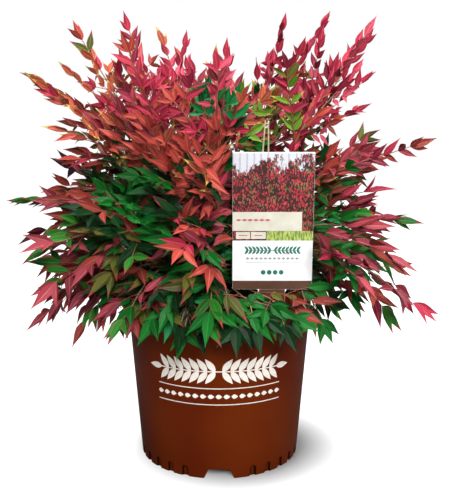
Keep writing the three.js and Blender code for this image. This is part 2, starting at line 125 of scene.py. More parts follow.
def leaf_outline(length: float, width: float, steps: int) -> list[Flat]:
    """A pointed leaf's outline, anticlockwise from its root at the origin, along the first axis.

    Args:
        length: from its root to its tip.
        width: across its widest part.
        steps: points between root and tip, on each side.

    Returns:
        The outline.
    """
    shares = [i / (steps + 1) for i in range(1, steps + 1)]
    upper = [(s * length, width / 2 * math.sin(math.pi * s**0.8)) for s in shares]
    return [(0, 0), *[(u, -v) for u, v in upper], (length, 0), *reversed(upper)]


def tube_faces(rings: int, sides: int) -> list[Face]:
    """Faces of a closed tube whose points are its one end, its rings in order, and its other end.

    Args:
        rings: how many rings it has.
        sides: how many points a ring has.

    Returns:
        The faces. They point outwards where the rings run anticlockwise about the tube's own way.
    """
    last = 1 + (rings - 1) * sides
    faces: list[Face] = [(0, 1 + (k + 1) % sides, 1 + k) for k in range(sides)]
    for first in range(1, last, sides):
        for k in range(sides):
            a, b = first + k, first + (k + 1) % sides
            faces.append((a, b, b + sides, a + sides))
    return faces + [(last + k, last + (k + 1) % sides, last + sides) for k in range(sides)]


class Lehmer:
    """A seeded source of numbers from 0 to 1, the same on every machine."""

    MODULUS = 2147483647
    FACTOR = 48271

    def __init__(self, seed: int) -> None:
        """Starts the row of numbers that belongs to a seed.

        Args:
            seed: a whole number.
        """
        self.state = (seed * 7919 + 104729) % self.MODULUS
        self.draw()
        self.draw()

    def draw(self) -> float:
        """The next number."""
        self.state = self.state * self.FACTOR % self.MODULUS
        return self.state / self.MODULUS

    def swing(self) -> float:
        """A number from -1 to 1."""
        return 2 * self.draw() - 1

    def pick(self, weights: dict) -> object:
        """One key of a table of weights.

        Args:
            weights: how often each key comes up.

        Returns:
            The key.
        """
        left = self.draw() * sum(weights.values())
        for key, weight in weights.items():
            left -= weight
            if left <= 0:
                return key
        return key


def linear(hex_colour: str) -> tuple[float, ...]:
    """An sRGB hex colour as linear RGBA."""
    srgb = [int(hex_colour[start : start + 2], 16) / 255 for start in (1, 3, 5)]
    return (*[c / 12.92 if c <= 0.04045 else ((c + 0.055) / 1.055) ** 2.4 for c in srgb], 1.0)


def wire(node: Node, *inputs: object, **settings: object) -> None:
    """Sets a node's properties and inputs, and links its inputs.

    Args:
        node: the node.
        *inputs: what its inputs take, in their order. An output is linked, a node stands for its first
            output, and a list is linked from its last to its first.
        **settings: the same by the name of a property or an input, with _ for a space.
    """
    named = {name: value for name, value in settings.items() if not hasattr(node, name)}
    for name in settings.keys() - named.keys():
        setattr(node, name, settings[name])
    usable = [socket for socket in node.inputs if socket.enabled]
    by_name = {socket.name.replace(" ", "_"): socket for socket in reversed(usable)}
    for target, value in [*zip(usable, inputs), *[(by_name[name], value) for name, value in named.items()]]:
        for source in reversed(value if isinstance(value, list) else [value]):
            if isinstance(source, Node):
                source = next(socket for socket in source.outputs if socket.enabled)
            if isinstance(source, NodeSocket):
                node.id_data.links.new(source, target)
            else:
                target.default_value = source


def add_node(tree: NodeTree, kind: str, *inputs: object, **settings: object) -> Node:
    """Adds a node with its settings and links.

    Args:
        tree: the tree that it joins.
        kind: its type's name.
        *inputs: as wire takes them.
        **settings: as wire takes them.

    Returns:
        The node.
    """
    node = tree.nodes.new(kind)
    wire(node, *inputs, **settings)
    return node


def mesh_of(name: str, points: Iterable[Point], faces: Iterable[Face]) -> Mesh:
    """A mesh from points in millimetres.

    Args:
        name: its name.
        points: its points.
        faces: its faces, by the numbers of their points.

    Returns:
        The mesh.
    """
    mesh = bpy.data.meshes.new(name)
    mesh.from_pydata([tuple(np.asarray(p, float) * MM) for p in points], [], list(faces))
    mesh.validate()
    return mesh


def new_object(name: str, mesh: Mesh, finish: Material | None = None) -> Object:
    """An object at the origin that shows a mesh.

    Args:
        name: its name.
        mesh: what it shows.
        finish: the mesh's material, where it has one.

    Returns:
        The object.
    """
    thing = bpy.data.objects.new(name, mesh)
    bpy.context.scene.collection.objects.link(thing)
    if finish:
        mesh.materials.append(finish)
    return thing


def add_attribute(mesh: Mesh, name: str, kind: str, values: Iterable[float]) -> None:
    """Adds an attribute to the points of a mesh."""
    layer = mesh.attributes.new(name, kind, "POINT")
    layer.data.foreach_set("vector" if kind == "FLOAT_VECTOR" else "value", list(values))


def smooth(mesh: Mesh, crease: float = 32.0) -> None:
    """Shades a mesh smooth, but for edges sharper than the crease angle."""
    mesh.shade_smooth()
    mesh.set_sharp_from_angle(angle=math.radians(crease))


def baked(thing: Object) -> Object:
    """Turns an object's evaluated modifiers into its plain mesh.

    Args:
        thing: the object.

    Returns:
        The same object.
    """
    bpy.context.view_layer.update()
    evaluated = thing.evaluated_get(bpy.context.evaluated_depsgraph_get())
    mesh = bpy.data.meshes.new_from_object(evaluated)
    mesh.name = thing.name
    old = thing.data
    thing.modifiers.clear()
    thing.data = mesh
    bpy.data.meshes.remove(old)
    return thing


def apply_tree(thing: Object, tree: NodeTree, values: dict[str, object]) -> Object:
    """Runs a Geometry Nodes tree on an object and keeps the result as its plain mesh.

    Args:
        thing: the object that the tree reads.
        tree: the tree.
        values: the tree's inputs by name.

    Returns:
        The same object with the finished mesh.
    """
    modifier = thing.modifiers.new(tree.name, "NODES")
    modifier.node_group = tree
    items = tree.interface.items_tree
    sockets = {item.name: item.identifier for item in items if item.item_type == "SOCKET"}
    for name, value in values.items():
        modifier[sockets[name]] = value
    return baked(thing)


def new_tree(name: str, **inputs: str) -> tuple[NodeTree, Node]:
    """A Geometry Nodes tree with named inputs.

    Args:
        name: the tree's name.
        **inputs: kinds of socket by input name, past the geometry.

    Returns:
        The tree and its input node.
    """
    tree = bpy.data.node_groups.new(name, "GeometryNodeTree")
    tree.is_modifier = True
    for label, kind in {"Geometry": "Geometry", **inputs}.items():
        tree.interface.new_socket(label, in_out="INPUT", socket_type=f"NodeSocket{kind}")
    tree.interface.new_socket("Geometry", in_out="OUTPUT", socket_type="NodeSocketGeometry")
    return tree, tree.nodes.new("NodeGroupInput")


def set_out(tree: NodeTree, given: Node, kinds: Iterable[str], **places: tuple[str, str]) -> Node:
    """Sets one of several objects on every point, as the points' attributes say.

    Args:
        tree: the tree.
        given: its input node, whose geometry is the points.
        kinds: names of the inputs that hold the objects, in the order of their numbers.
        **places: type and name of the attribute, by the input that it sets.

    Returns:
        The node that gives the instances.
    """
    things = [add_node(tree, "GeometryNodeObjectInfo", given.outputs[kind], True) for kind in kinds]
    joined = add_node(tree, "GeometryNodeJoinGeometry", [thing.outputs["Geometry"] for thing in things])
    settings = {
        socket: add_node(tree, "GeometryNodeInputNamedAttribute", name, data_type=kind)
        for socket, (kind, name) in places.items()
    }
    settings |= {"Points": given, "Instance": joined, "Pick_Instance": True}
    return add_node(tree, "GeometryNodeInstanceOnPoints", **settings)


def end_tree(tree: NodeTree, shape: Node, *finishes: tuple[Node | bool, NodeSocket]) -> NodeTree:
    """Ends a tree in Realize Instances, Set Material and its output.

    Args:
        tree: the tree.
        shape: the node that gives the finished shape.
        *finishes: the faces that a material takes, or True for all, and the material.

    Returns:
        The tree.
    """
    last = add_node(tree, "GeometryNodeRealizeInstances", shape)
    for faces, finish in finishes:
        last = add_node(tree, "GeometryNodeSetMaterial", last, faces, finish)
    add_node(tree, "NodeGroupOutput", last)
    return tree


# ---------------------------------------------------------------- finishes


@dataclass(frozen=True)
class Clouds:
    """A cloudy pattern: the width of its patches, its detail, and the part of its range that shows."""

    size_mm: float
    detail: float = 2
    low: float = 0.3
    high: float = 0.7
    roughness: float = 0.55

    def noise(self, tree: NodeTree, where: Node | NodeSocket) -> Node:
        """The plain pattern at the places that where gives."""
        settings = {"Scale": 1 / (self.size_mm * MM), "Detail": self.detail, "Roughness": self.roughness}
        return add_node(tree, "ShaderNodeTexNoise", Vector=where, **settings)

    def share(self, tree: NodeTree, where: Node | NodeSocket, first: float = 0, last: float = 1) -> Node:
        """The pattern, with the part that shows carried over to another range."""
        ends = self.low, self.high, first, last
        return add_node(tree, "ShaderNodeMapRange", self.noise(tree, where), *ends)

    def colour(self, tree: NodeTree, where: Node | NodeSocket, first: str, second: str) -> Node:
        """Two hex colours, laid out by the pattern."""
        ends = linear(first), linear(second)
        return add_node(tree, "ShaderNodeMix", self.share(tree, where), *ends, data_type="RGBA")

    def relief(self, tree: NodeTree, where: Node | NodeSocket, depth_mm: float, strength: float) -> Node:
        """The pattern as relief of a depth."""
        settings = {"Height": self.noise(tree, where), "Distance": depth_mm * MM, "Strength": strength}
        return add_node(tree, "ShaderNodeBump", **settings)


class Finish:
    """A finish that makes its own material once."""

    name: str

    def dress(self, tree: NodeTree, shader: Node, where: NodeSocket) -> None:
        """Sets the shader of the finish.

        Args:
            tree: the material's tree.
            shader: its Principled BSDF.
            where: Object coordinates, in metres.
        """
        raise NotImplementedError

    def material(self) -> Material:
        """The finish as a material, which is made at the first call.

        Returns:
            The material.
        """
        known = bpy.data.materials.get(self.name)
        if known:
            return known
        material = bpy.data.materials.new(self.name)
        material.use_nodes = True
        tree = material.node_tree
        tree.nodes.clear()
        shader = add_node(tree, "ShaderNodeBsdfPrincipled")
        add_node(tree, "ShaderNodeOutputMaterial", shader)
        self.dress(tree, shader, add_node(tree, "ShaderNodeTexCoord").outputs["Object"])
        return material


@dataclass(frozen=True)
class CloudyFinish(Finish):
    """Two colours in soft patches, with an even gloss or a cloudy one, and a relief where it has one."""

    name: str
    first: str
    second: str
    pattern: Clouds
    gloss: float | tuple[Clouds, float, float]  # roughness, or a pattern and its ends
    grain: tuple[Clouds, float, float] | None = None  # pattern of the relief, its depth and its strength
    drawn_out: float = 1  # scale up and down, below one for patches that are longer than wide
    lean: float = 0  # how far the long patches lean

    def dress(self, tree: NodeTree, shader: Node, where: NodeSocket) -> None:
        """Lays the patches out, and wires gloss and relief.

        Args:
            tree: the material's tree.
            shader: its Principled BSDF.
            where: Object coordinates, in metres.
        """
        if self.drawn_out != 1:
            lean = (0, math.radians(self.lean), 0)
            long_way = {"Rotation": lean, "Scale": (1, 1, self.drawn_out)}
            where = add_node(tree, "ShaderNodeMapping", Vector=where, **long_way)
        gloss = self.gloss
        if isinstance(gloss, tuple):
            gloss = gloss[0].share(tree, where, *gloss[1:])
        wire(shader, Base_Color=self.pattern.colour(tree, where, self.first, self.second), Roughness=gloss)
        if self.grain:
            wire(shader, Normal=self.grain[0].relief(tree, where, *self.grain[1:]))


@dataclass(frozen=True)
class MouldedPolypropylene(Finish):
    """Injection-moulded polypropylene, spark-eroded mould: a satin skin with a soft broad gloss."""

    name: str = "moulded_polypropylene"
    body: str = "#662606"
    shade: str = "#5b1d05"
    # Painted shade: the colour that the flanks of the flutes at the foot darken to, standing in for the shade
    # in those recesses.
    flute_shade: str = "#1c0702"
    flow: Clouds = Clouds(90, 1, 0.35, 0.65)
    grain: Clouds = Clouds(1.1)  # the mould's grain is finer; drawn this coarse so that it shows
    foot_radius: float = 0.0995
    taper: float = 17.5 / 220
    # Where that painted shade lies: depths under the nominal wall, and heights at the foot, in metres.
    flute_lip: Flat = (0.0002, 0.0009)  # how deep a flute's flank begins to be dark, and is all dark
    flute_bed: Flat = (0.0022, 0.0029)  # the same where it ends at the flute's bed
    flute_top: Flat = (0.0145, 0.015)  # heights between which the dark ends

    def dress(self, tree: NodeTree, shader: Node, where: NodeSocket) -> None:
        """A brown body, slightly streaked by flow, with painted shade in the flanks of its flutes, and a fine
        grain.

        Args:
            tree: the material's tree.
            shader: its Principled BSDF.
            where: Object coordinates, in metres.
        """
        height = add_node(tree, "ShaderNodeSeparateXYZ", where).outputs["Z"]
        flat = add_node(tree, "ShaderNodeVectorMath", where, (1, 1, 0), operation="MULTIPLY")
        radius = add_node(tree, "ShaderNodeVectorMath", flat, operation="LENGTH")
        wall = height, self.taper, self.foot_radius
        nominal = add_node(tree, "ShaderNodeMath", *wall, operation="MULTIPLY_ADD")
        sunk = add_node(tree, "ShaderNodeMath", nominal, radius, operation="SUBTRACT")
        # Painted shade: dark is how far the flanks of the flutes take the darker colour, standing in for
        # shade in those recesses.
        dark = 1.0
        for value, ends, first, last in (
            (sunk, self.flute_lip, 0, 1),
            (sunk, self.flute_bed, 1, 0.15),
            (height, self.flute_top, 1, 0),
        ):
            share = add_node(tree, "ShaderNodeMapRange", value, *ends, first, last)
            dark = add_node(tree, "ShaderNodeMath", dark, share, operation="MULTIPLY")
        body = self.flow.colour(tree, where, self.shade, self.body)
        wire(
            shader,
            Base_Color=add_node(tree, "ShaderNodeMix", dark, body, linear(self.flute_shade), data_type="RGBA"),
            Roughness=self.grain.share(tree, where, 0.46, 0.56),
            Normal=self.grain.relief(tree, where, 0.05, 0.5),
            IOR=1.49,
            Specular_IOR_Level=0.05,
        )


@dataclass(frozen=True)
class LeafyPrint(Finish):
    """Offset print of plain leaf dabs on a pale ground, thicker towards the bottom."""

    name: str = "leafy_print"
    ground: str = "#d6d8e0"
    board: str = "#b4b8c6"
    dark: str = "#2c1812"
    dabs: tuple[str, ...] = ("#6c1420", "#9c1c28", "#c4404a", "#a82a34", "#8c6a4a", "#55692c")
    dab_mm: float = 1.6
    dab_lean: float = 38
    boards_per_metre: float = 40
    crest: float = 0.3906  # height where the dabs thin out, in the middle of the clump
    slope: float = 0.152  # how steeply that line rises to the right
    ragged: Flat = (0.05, 0.012)  # how far that line wanders, in waves and from dab to dab

    def dress(self, tree: NodeTree, shader: Node, where: NodeSocket) -> None:
        """Dabs by a cell pattern under a wandering line, and pale upright boards above it.

        Args:
            tree: the material's tree.
            shader: its Principled BSDF.
            where: Object coordinates, in metres.
        """
        lean = {"Rotation": (0, math.radians(self.dab_lean), 0), "Scale": (1, 1, 0.5)}
        leaning = add_node(tree, "ShaderNodeMapping", Vector=where, **lean)
        scale = 1 / (self.dab_mm * MM)
        cells = add_node(tree, "ShaderNodeTexVoronoi", Vector=leaning, Scale=scale, Randomness=1.0)
        number = add_node(tree, "ShaderNodeSeparateColor", cells.outputs["Color"]).outputs
        region = Clouds(16, 2, 0.36, 0.64).share(tree, where)
        dealt = add_node(tree, "ShaderNodeMix", 0.42, number["Red"], region, data_type="FLOAT")
        ramp = add_node(tree, "ShaderNodeValToRGB", dealt)
        ramp.color_ramp.interpolation = "CONSTANT"
        steps = ramp.color_ramp.elements
        for i, dab in enumerate(self.dabs):
            if i > 1:
                steps.new(i / len(self.dabs))
            steps[i].position = i / len(self.dabs)
            steps[i].color = linear(dab)
        thin = Clouds(11, 3, 0.35, 0.65).share(tree, where, 0.22, -0.02)
        apart = add_node(tree, "ShaderNodeMath", cells, thin, operation="ADD")
        inside = add_node(tree, "ShaderNodeMapRange", apart, 0.55, 0.62, 1, 0)
        leafy = add_node(tree, "ShaderNodeMix", inside, linear(self.dark), ramp, data_type="RGBA")
        place = add_node(tree, "ShaderNodeSeparateXYZ", where).outputs
        level = place["Z"]
        waves = Clouds(14, 4).noise(tree, where)
        terms = (waves, self.ragged[0]), (number["Green"], self.ragged[1]), (place["X"], -self.slope)
        for term in terms:
            level = add_node(tree, "ShaderNodeMath", *term, level, operation="MULTIPLY_ADD")
        cover = add_node(tree, "ShaderNodeMapRange", level, self.crest, self.crest + 0.005, 1, 0)
        bands = {"wave_type": "BANDS", "bands_direction": "X", "Scale": self.boards_per_metre}
        boards = add_node(tree, "ShaderNodeTexWave", Vector=where, Distortion=1.5, Detail=2.0, **bands)
        joint = add_node(tree, "ShaderNodeMapRange", boards.outputs["Fac"], 0.02, 0.2)
        ends = linear(self.board), linear(self.ground)
        pale = add_node(tree, "ShaderNodeMix", joint, *ends, data_type="RGBA")
        whole = add_node(tree, "ShaderNodeMix", cover, pale, leafy, data_type="RGBA")
        wire(shader, Base_Color=whole, Roughness=0.36)


@dataclass(frozen=True)
class LeafBlade(Finish):
    """Leathery leaflet: a soft sheen, each between two tones, with a pale midrib and a darker edge."""

    name: str
    tone: str
    shade: str
    rib: str
    edge: str
    # Two places across half a blade, and how strong the rib or the edge is at them.
    on_rib: tuple[float, ...] = (0.052, 0.13, 0.5, 0)
    on_edge: tuple[float, ...] = (0.68, 1, 0, 0.6)
    grain: Clouds = Clouds(3)
    sheen: float = 0.2

    def dress(self, tree: NodeTree, shader: Node, where: NodeSocket) -> None:
        """Tone by leaflet, then rib and edge by the place across the blade.

        Args:
            tree: the material's tree.
            shader: its Principled BSDF.
            where: Object coordinates, in metres.
        """
        own, across = [
            add_node(tree, "ShaderNodeAttribute", attribute_name=name).outputs["Fac"]
            for name in ("leaf_tone", "across")
        ]
        layers = [(own, self.shade)]
        for ends, colour in ((self.on_rib, self.rib), (self.on_edge, self.edge)):
            layers.append((add_node(tree, "ShaderNodeMapRange", across, *ends), colour))
        body = linear(self.tone)
        for share, colour in layers:
            body = add_node(tree, "ShaderNodeMix", share, body, linear(colour), data_type="RGBA")
        wire(
            shader,
            Base_Color=body,
            Roughness=self.grain.share(tree, where, 0.48, 0.62),
            Normal=self.grain.relief(tree, where, 0.08, 0.5),
            Specular_IOR_Level=self.sheen,
        )


@dataclass(frozen=True)
class StudioPaper(Finish):
    """Seamless studio paper: plain white and matt, with a glow that the camera alone sees, so that it stays
    pale in shadow; the glow fades near the plant and so paints a shadow round the pot's foot.
    """

    name: str = "studio_paper"
    # The painted shadow: the glow is nothing nearer than near to the middle point and full beyond far; the
    # middle lies a little right of and behind the pot's middle, so that the painted shadow falls to the
    # right.
    near: float = 0.082
    far: float = 0.145
    middle: tuple[float, float, float] = (0.022, 0.006, 0)

    def dress(self, tree: NodeTree, shader: Node, where: NodeSocket) -> None:
        """White, with light of its own that takes over away from the plant; its fading near the plant is a
        painted shadow.

        Args:
            tree: the material's tree.
            shader: its Principled BSDF.
            where: Object coordinates, in metres.
        """
        away = add_node(tree, "ShaderNodeVectorMath", where, self.middle, operation="DISTANCE")
        glow_and_painted_shadow = add_node(tree, "ShaderNodeMapRange", away, self.near, self.far)
        path = add_node(tree, "ShaderNodeLightPath").outputs["Is Camera Ray"]
        seen = add_node(tree, "ShaderNodeMath", glow_and_painted_shadow, path, operation="MULTIPLY")
        wire(shader, Base_Color=(0.3, 0.3, 0.3, 1), Roughness=0.95, Specular_IOR_Level=0.0)
        wire(shader, Emission_Color=(1, 1, 1, 1), Emission_Strength=seen)


POT_PLASTIC = MouldedPolypropylene()
# Screen-printed ink: an opaque film with faint thin places, a little less glossy than what it lies on.
FILM = (Clouds(3, 3, 0.55, 0.8), (Clouds(3, 3), 0.42, 0.55))
POT_INK = CloudyFinish("white_pot_ink", "#f4ece2", "#dccfc2", *FILM)
# Coated synthetic label stock, offset printed: bright and smooth, with the slight orange peel of its coat.
STOCK = (Clouds(12, 4, 0.35, 0.7), 0.38, (Clouds(0.8), 0.01, 0.4))
CARD_WHITE = CloudyFinish("card_white", "#fbfdfc", "#f1f4f3", *STOCK)
CARD_BAND = CloudyFinish("card_brown", "#5e4030", "#533829", *STOCK)
CARD_BEIGE = CloudyFinish("card_beige", "#dcdacb", "#cfcbb9", *STOCK)
CARD_TEAL = CloudyFinish("card_teal", "#1f7a68", "#176656", *STOCK)
CARD_GREY = CloudyFinish("card_grey", "#98a09d", "#8b9391", *STOCK)
CARD_CORAL = CloudyFinish("card_coral", "#cf5a5e", "#bb4a50", *STOCK)
# Offset print of plain upright strokes, a millimetre or so wide and slanting, in fresh greens.
STROKES = (Clouds(1.6, 3, 0.42, 0.58), 0.36, None, 0.22, 24)
GRASSY_PRINT = CloudyFinish("grassy_print", "#5f7f32", "#b9c96a", *STROKES)
# Composted bark and peat, kept moist: crumb-sized patches from dark peat to lighter bark, quite matt.
CRUMBS = (Clouds(5, 5, 0.35, 0.72, 0.7), 0.94, (Clouds(1.5, 4), 0.6, 1))
POTTING_BARK = CloudyFinish("potting_bark", "#1d120b", "#5b3d26", *CRUMBS)
# Young corky bark on an upright cane: tan and matt, with lengthwise furrows about two millimetres apart.
FURROWS = Clouds(2, 4, 0.36, 0.62, 0.65)
CANE_BARK = CloudyFinish("cane_bark", "#54402a", "#a08a62", FURROWS, 0.86, (FURROWS, 0.5, 0.8), 0.12)
# Green wood of leaf stalks: long soft patches, straw-green where it is old and red where it is young, waxy.
WAXY = (Clouds(30, 3, 0.38, 0.62), (Clouds(2), 0.4, 0.6))
STALK_SKIN = CloudyFinish("stalk_skin", "#8a7a4c", "#8c4038", *WAXY)
LEAF_STALK_SKIN = CloudyFinish("leaf_stalk_skin", "#9a5a44", "#7d2c30", *WAXY)
STRAW_SKIN = CloudyFinish("straw_skin", "#d6c8a0", "#c4b488", *WAXY)


class Tint(Enum):
    """A leaflet's tones: two to lie between, its midrib's and its edge's; and the name of a slot."""

    CRIMSON = ("#b42e46", "#98243a", "#cc6e7a", "#92243a", "crimson_leaves")
    ROSE = ("#c84e62", "#b03c50", "#e0929c", "#b04056", "crimson_leaves")
    CHERRY = ("#8c2438", "#6c1a2c", "#b04c5a", "#601828", "crimson_leaves")
    CORAL = ("#b2443a", "#8a3028", "#d07c68", "#963c2c", "coral_leaves")
    EMBER = ("#b04c3a", "#923a32", "#ce9658", "#b89048", "coral_leaves")
    AMBER = ("#b8a044", "#a08838", "#d0c474", "#a8a048", "coral_leaves")
    BRICK = ("#923a30", "#6a2820", "#ba6c62", "#5a201c", "coral_leaves")
    DUSTY = ("#a03a44", "#742a36", "#c47c80", "#84303a", "coral_leaves")
    MAROON = ("#3f121a", "#290a11", "#642a32", "#290a11", "maroon_leaves")
    BRONZE = ("#6c3822", "#4a2416", "#8c5c3c", "#4a2416", "maroon_leaves")
    OLIVE = ("#5c6020", "#3c4016", "#848248", "#7c4428", "green_leaves")
    LIME = ("#66982a", "#47741a", "#a0b44c", "#a89c40", "green_leaves")
    TURNING = ("#1f7420", "#135016", "#568a34", "#7c5a2a", "green_leaves")
    GREEN = ("#0d681e", "#074612", "#36843c", "#0a5418", "green_leaves")
    FOREST = ("#07340f", "#042008", "#1c5224", "#04240a", "green_leaves")
    TEAL = ("#12783c", "#0b5028", "#3a9058", "#0b5028", "green_leaves")

    @property
    def finish(self) -> LeafBlade:
        """The finish of a leaflet of this tone."""
        return LeafBlade(f"leaflet_{self.name.lower()}", *self.value[:4])


# Leaflets that turn at the tip: the tone of the outer part, by the tone of the rest.
TIP_TINTS = {
    Tint.EMBER: Tint.AMBER,
    Tint.OLIVE: Tint.BRICK,
    Tint.LIME: Tint.AMBER,
    Tint.TURNING: Tint.BRICK,
}


# ---------------------------------------------------------------- pot


def prism_faces(corners: int) -> list[Face]:
    """Faces of a prism, whose points are its lower outline and then its upper one.

    Args:
        corners: how many points an outline has; it runs anticlockwise.

    Returns:
        The faces.
    """
    ends: list[Face] = [tuple(range(corners - 1, -1, -1)), tuple(range(corners, 2 * corners))]
    sides = [(k, (k + 1) % corners) for k in range(corners)]
    return ends + [(a, b, corners + b, corners + a) for a, b in sides]


@dataclass
class Pot:
    """The nursery pot: a tapering wall with a turned-out lip, feet notches and small arches."""

    height: float = 220
    foot_radius: float = 99.5
    rim_radius: float = 117
    wall: float = 2.4
    foot_wall: float = 3.6
    lip_proud: float = 3.2
    lip_height: float = 15
    disc_radius: float = 70
    disc_slope: float = 5
    channel: float = 15
    floor: float = 3
    notches: int = 3
    notch_top: float = 25
    notch_bottom: float = 37
    notch_height: float = 12
    notch_depth: float = 24
    notch_over: float = 6  # how far its cutter stands out in front of the wall
    arches: int = 7
    arch_first: float = 24
    arch_step: float = 12
    arch_width: float = 7.8
    arch_height: float = 13.5
    arch_bite: float = 3.1
    arch_rows: tuple[float, ...] = (1.2, 2.4, 3.8, 5.2, 6.6, 8, 9.4, 10.6, 11.6, 12.6, 13.4, 14.4, 16)
    wall_rows: tuple[float, ...] = (30, 60, 95, 130, 165, 202)
    inside_rows: tuple[float, ...] = (190, 120, 60)
    segments: int = 840

    def radius(self, z: float) -> float:
        """The outside radius of the wall at a height."""
        return lerp(self.foot_radius, self.rim_radius, z / self.height)

    def profile(self) -> list[Flat]:
        """The rows of the lathed body, each with its edges just rounded.

        Returns:
            Radius and height of each row, from under the middle, up the outside and down the inside.
        """
        lip_foot = self.height - self.lip_height
        lip = self.rim_radius + self.lip_proud
        disc_foot = self.disc_radius + self.disc_slope
        inner = self.foot_radius - self.foot_wall
        inside_rim = self.rim_radius - self.wall
        floor_top = self.channel + self.floor
        return [
            (0, 0.0),
            (self.disc_radius - 1, 0.0),
            (self.disc_radius, 0.4),
            (disc_foot, self.channel - 0.6),
            (disc_foot + 1, self.channel),
            (inner - 1, self.channel),
            (inner, self.channel - 1),
            (inner, 0.6),
            (inner + 0.6, 0.0),
            (self.foot_radius - 0.7, 0.0),
            (self.radius(0.5) - 0.25, 0.5),
            *[(self.radius(z), z) for z in (*self.arch_rows, *self.wall_rows)],
            (self.radius(lip_foot) + 0.15, lip_foot - 1),
            (self.radius(lip_foot) + 1.0, lip_foot),
            (lip - 0.8, lip_foot + 0.05),
            (lip - 0.2, lip_foot + 0.4),
            (lip, lip_foot + 1.2),
            (lip, self.height - 1.8),
            (lip - 0.35, self.height - 0.8),
            (lip - 1.2, self.height - 0.15),
            (lip - 2.2, self.height),
            (inside_rim + 1, self.height),
            (inside_rim + 0.2, self.height - 0.3),
            *[(self.radius(z) - self.wall, z) for z in (self.height - 2, *self.inside_rows, floor_top)],
            (disc_foot - self.floor, floor_top),
            (self.disc_radius - self.floor, self.floor),
            (0, self.floor),
        ]

    def arch_depth(self, degrees: float, radius: float, z: float) -> float:
        """How far a small arch at the foot lets the wall in.

        Args:
            degrees: the angle round the pot.
            radius: the wall's radius.
            z: the height.

        Returns:
            The depth, which is nothing beside the arches.
        """
        place = (degrees + 90) % (360 / self.notches)
        step = round((place - self.arch_first) / self.arch_step)
        if not 0 <= step < self.arches:
            return 0.0
        off = abs(place - self.arch_first - step * self.arch_step) * math.pi / 180 * radius
        half = self.arch_width / 2
        shoulder = self.arch_height - half
        over = off if z < shoulder else math.hypot(off, z - shoulder)
        return self.arch_bite * math.sqrt(max(0.0, 1 - (over / half) ** 2))

    def body_mesh(self) -> Mesh:
        """The lathed body, with the arches pressed into the outside of its foot.

        Returns:
            The mesh.
        """
        rows = self.profile()
        points = [vec(0, 0, rows[0][1])]
        for radius, z in rows[1:-1]:
            is_outside = radius > self.foot_radius - 1
            for k in range(self.segments):
                angle = 360 * k / self.segments
                inset = self.arch_depth(angle, radius, z) if is_outside else 0.0
                points.append(heading(angle) * (radius - inset) + vec(0, 0, z))
        points.append(vec(0, 0, rows[-1][1]))
        return mesh_of("pot_body", points, tube_faces(len(rows) - 2, self.segments))

    def notch_cutter(self, side: float) -> Object:
        """A block with the outline of one foot notch.

        Args:
            side: its angle round the pot.

        Returns:
            The block.
        """
        low, high = self.notch_bottom / 2, self.notch_top / 2
        outline = [(-low, -1), (low, -1), (high, self.notch_height), (-high, self.notch_height)]
        near = self.disc_radius + self.disc_slope + 2
        depths = (near, near + self.notch_depth + self.notch_over)
        across, out = heading(side + 90), heading(side)
        points = [across * x + out * depth + vec(0, 0, z) for depth in depths for x, z in outline]
        return new_object("notch_cutter", mesh_of("notch_cutter", points, prism_faces(len(outline))))

    def build(self) -> Object:
        """The finished pot.

        Returns:
            The pot, with its notches cut.
        """
        pot = new_object("nursery_pot", self.body_mesh())
        cutters = [self.notch_cutter(360 / self.notches * i - 90) for i in range(self.notches)]
        for cutter in cutters:
            cut = pot.modifiers.new("notch", "BOOLEAN")
            cut.operation = "DIFFERENCE"
            cut.solver = "EXACT"
            cut.object = cutter
        baked(pot)
        for cutter in cutters:
            bpy.data.objects.remove(cutter)
        smooth(pot.data)
        pot.data.materials.clear()
        pot.data.materials.append(POT_PLASTIC.material())
        return pot

    def on_wall(self, across: float, z: float, proud: float) -> Point:
        """A point just off the front of the wall, at a distance round it from the middle."""
        radius = self.radius(z)
        return heading(-90 + math.degrees(across / radius)) * (radius + proud) + vec(0, 0, z)


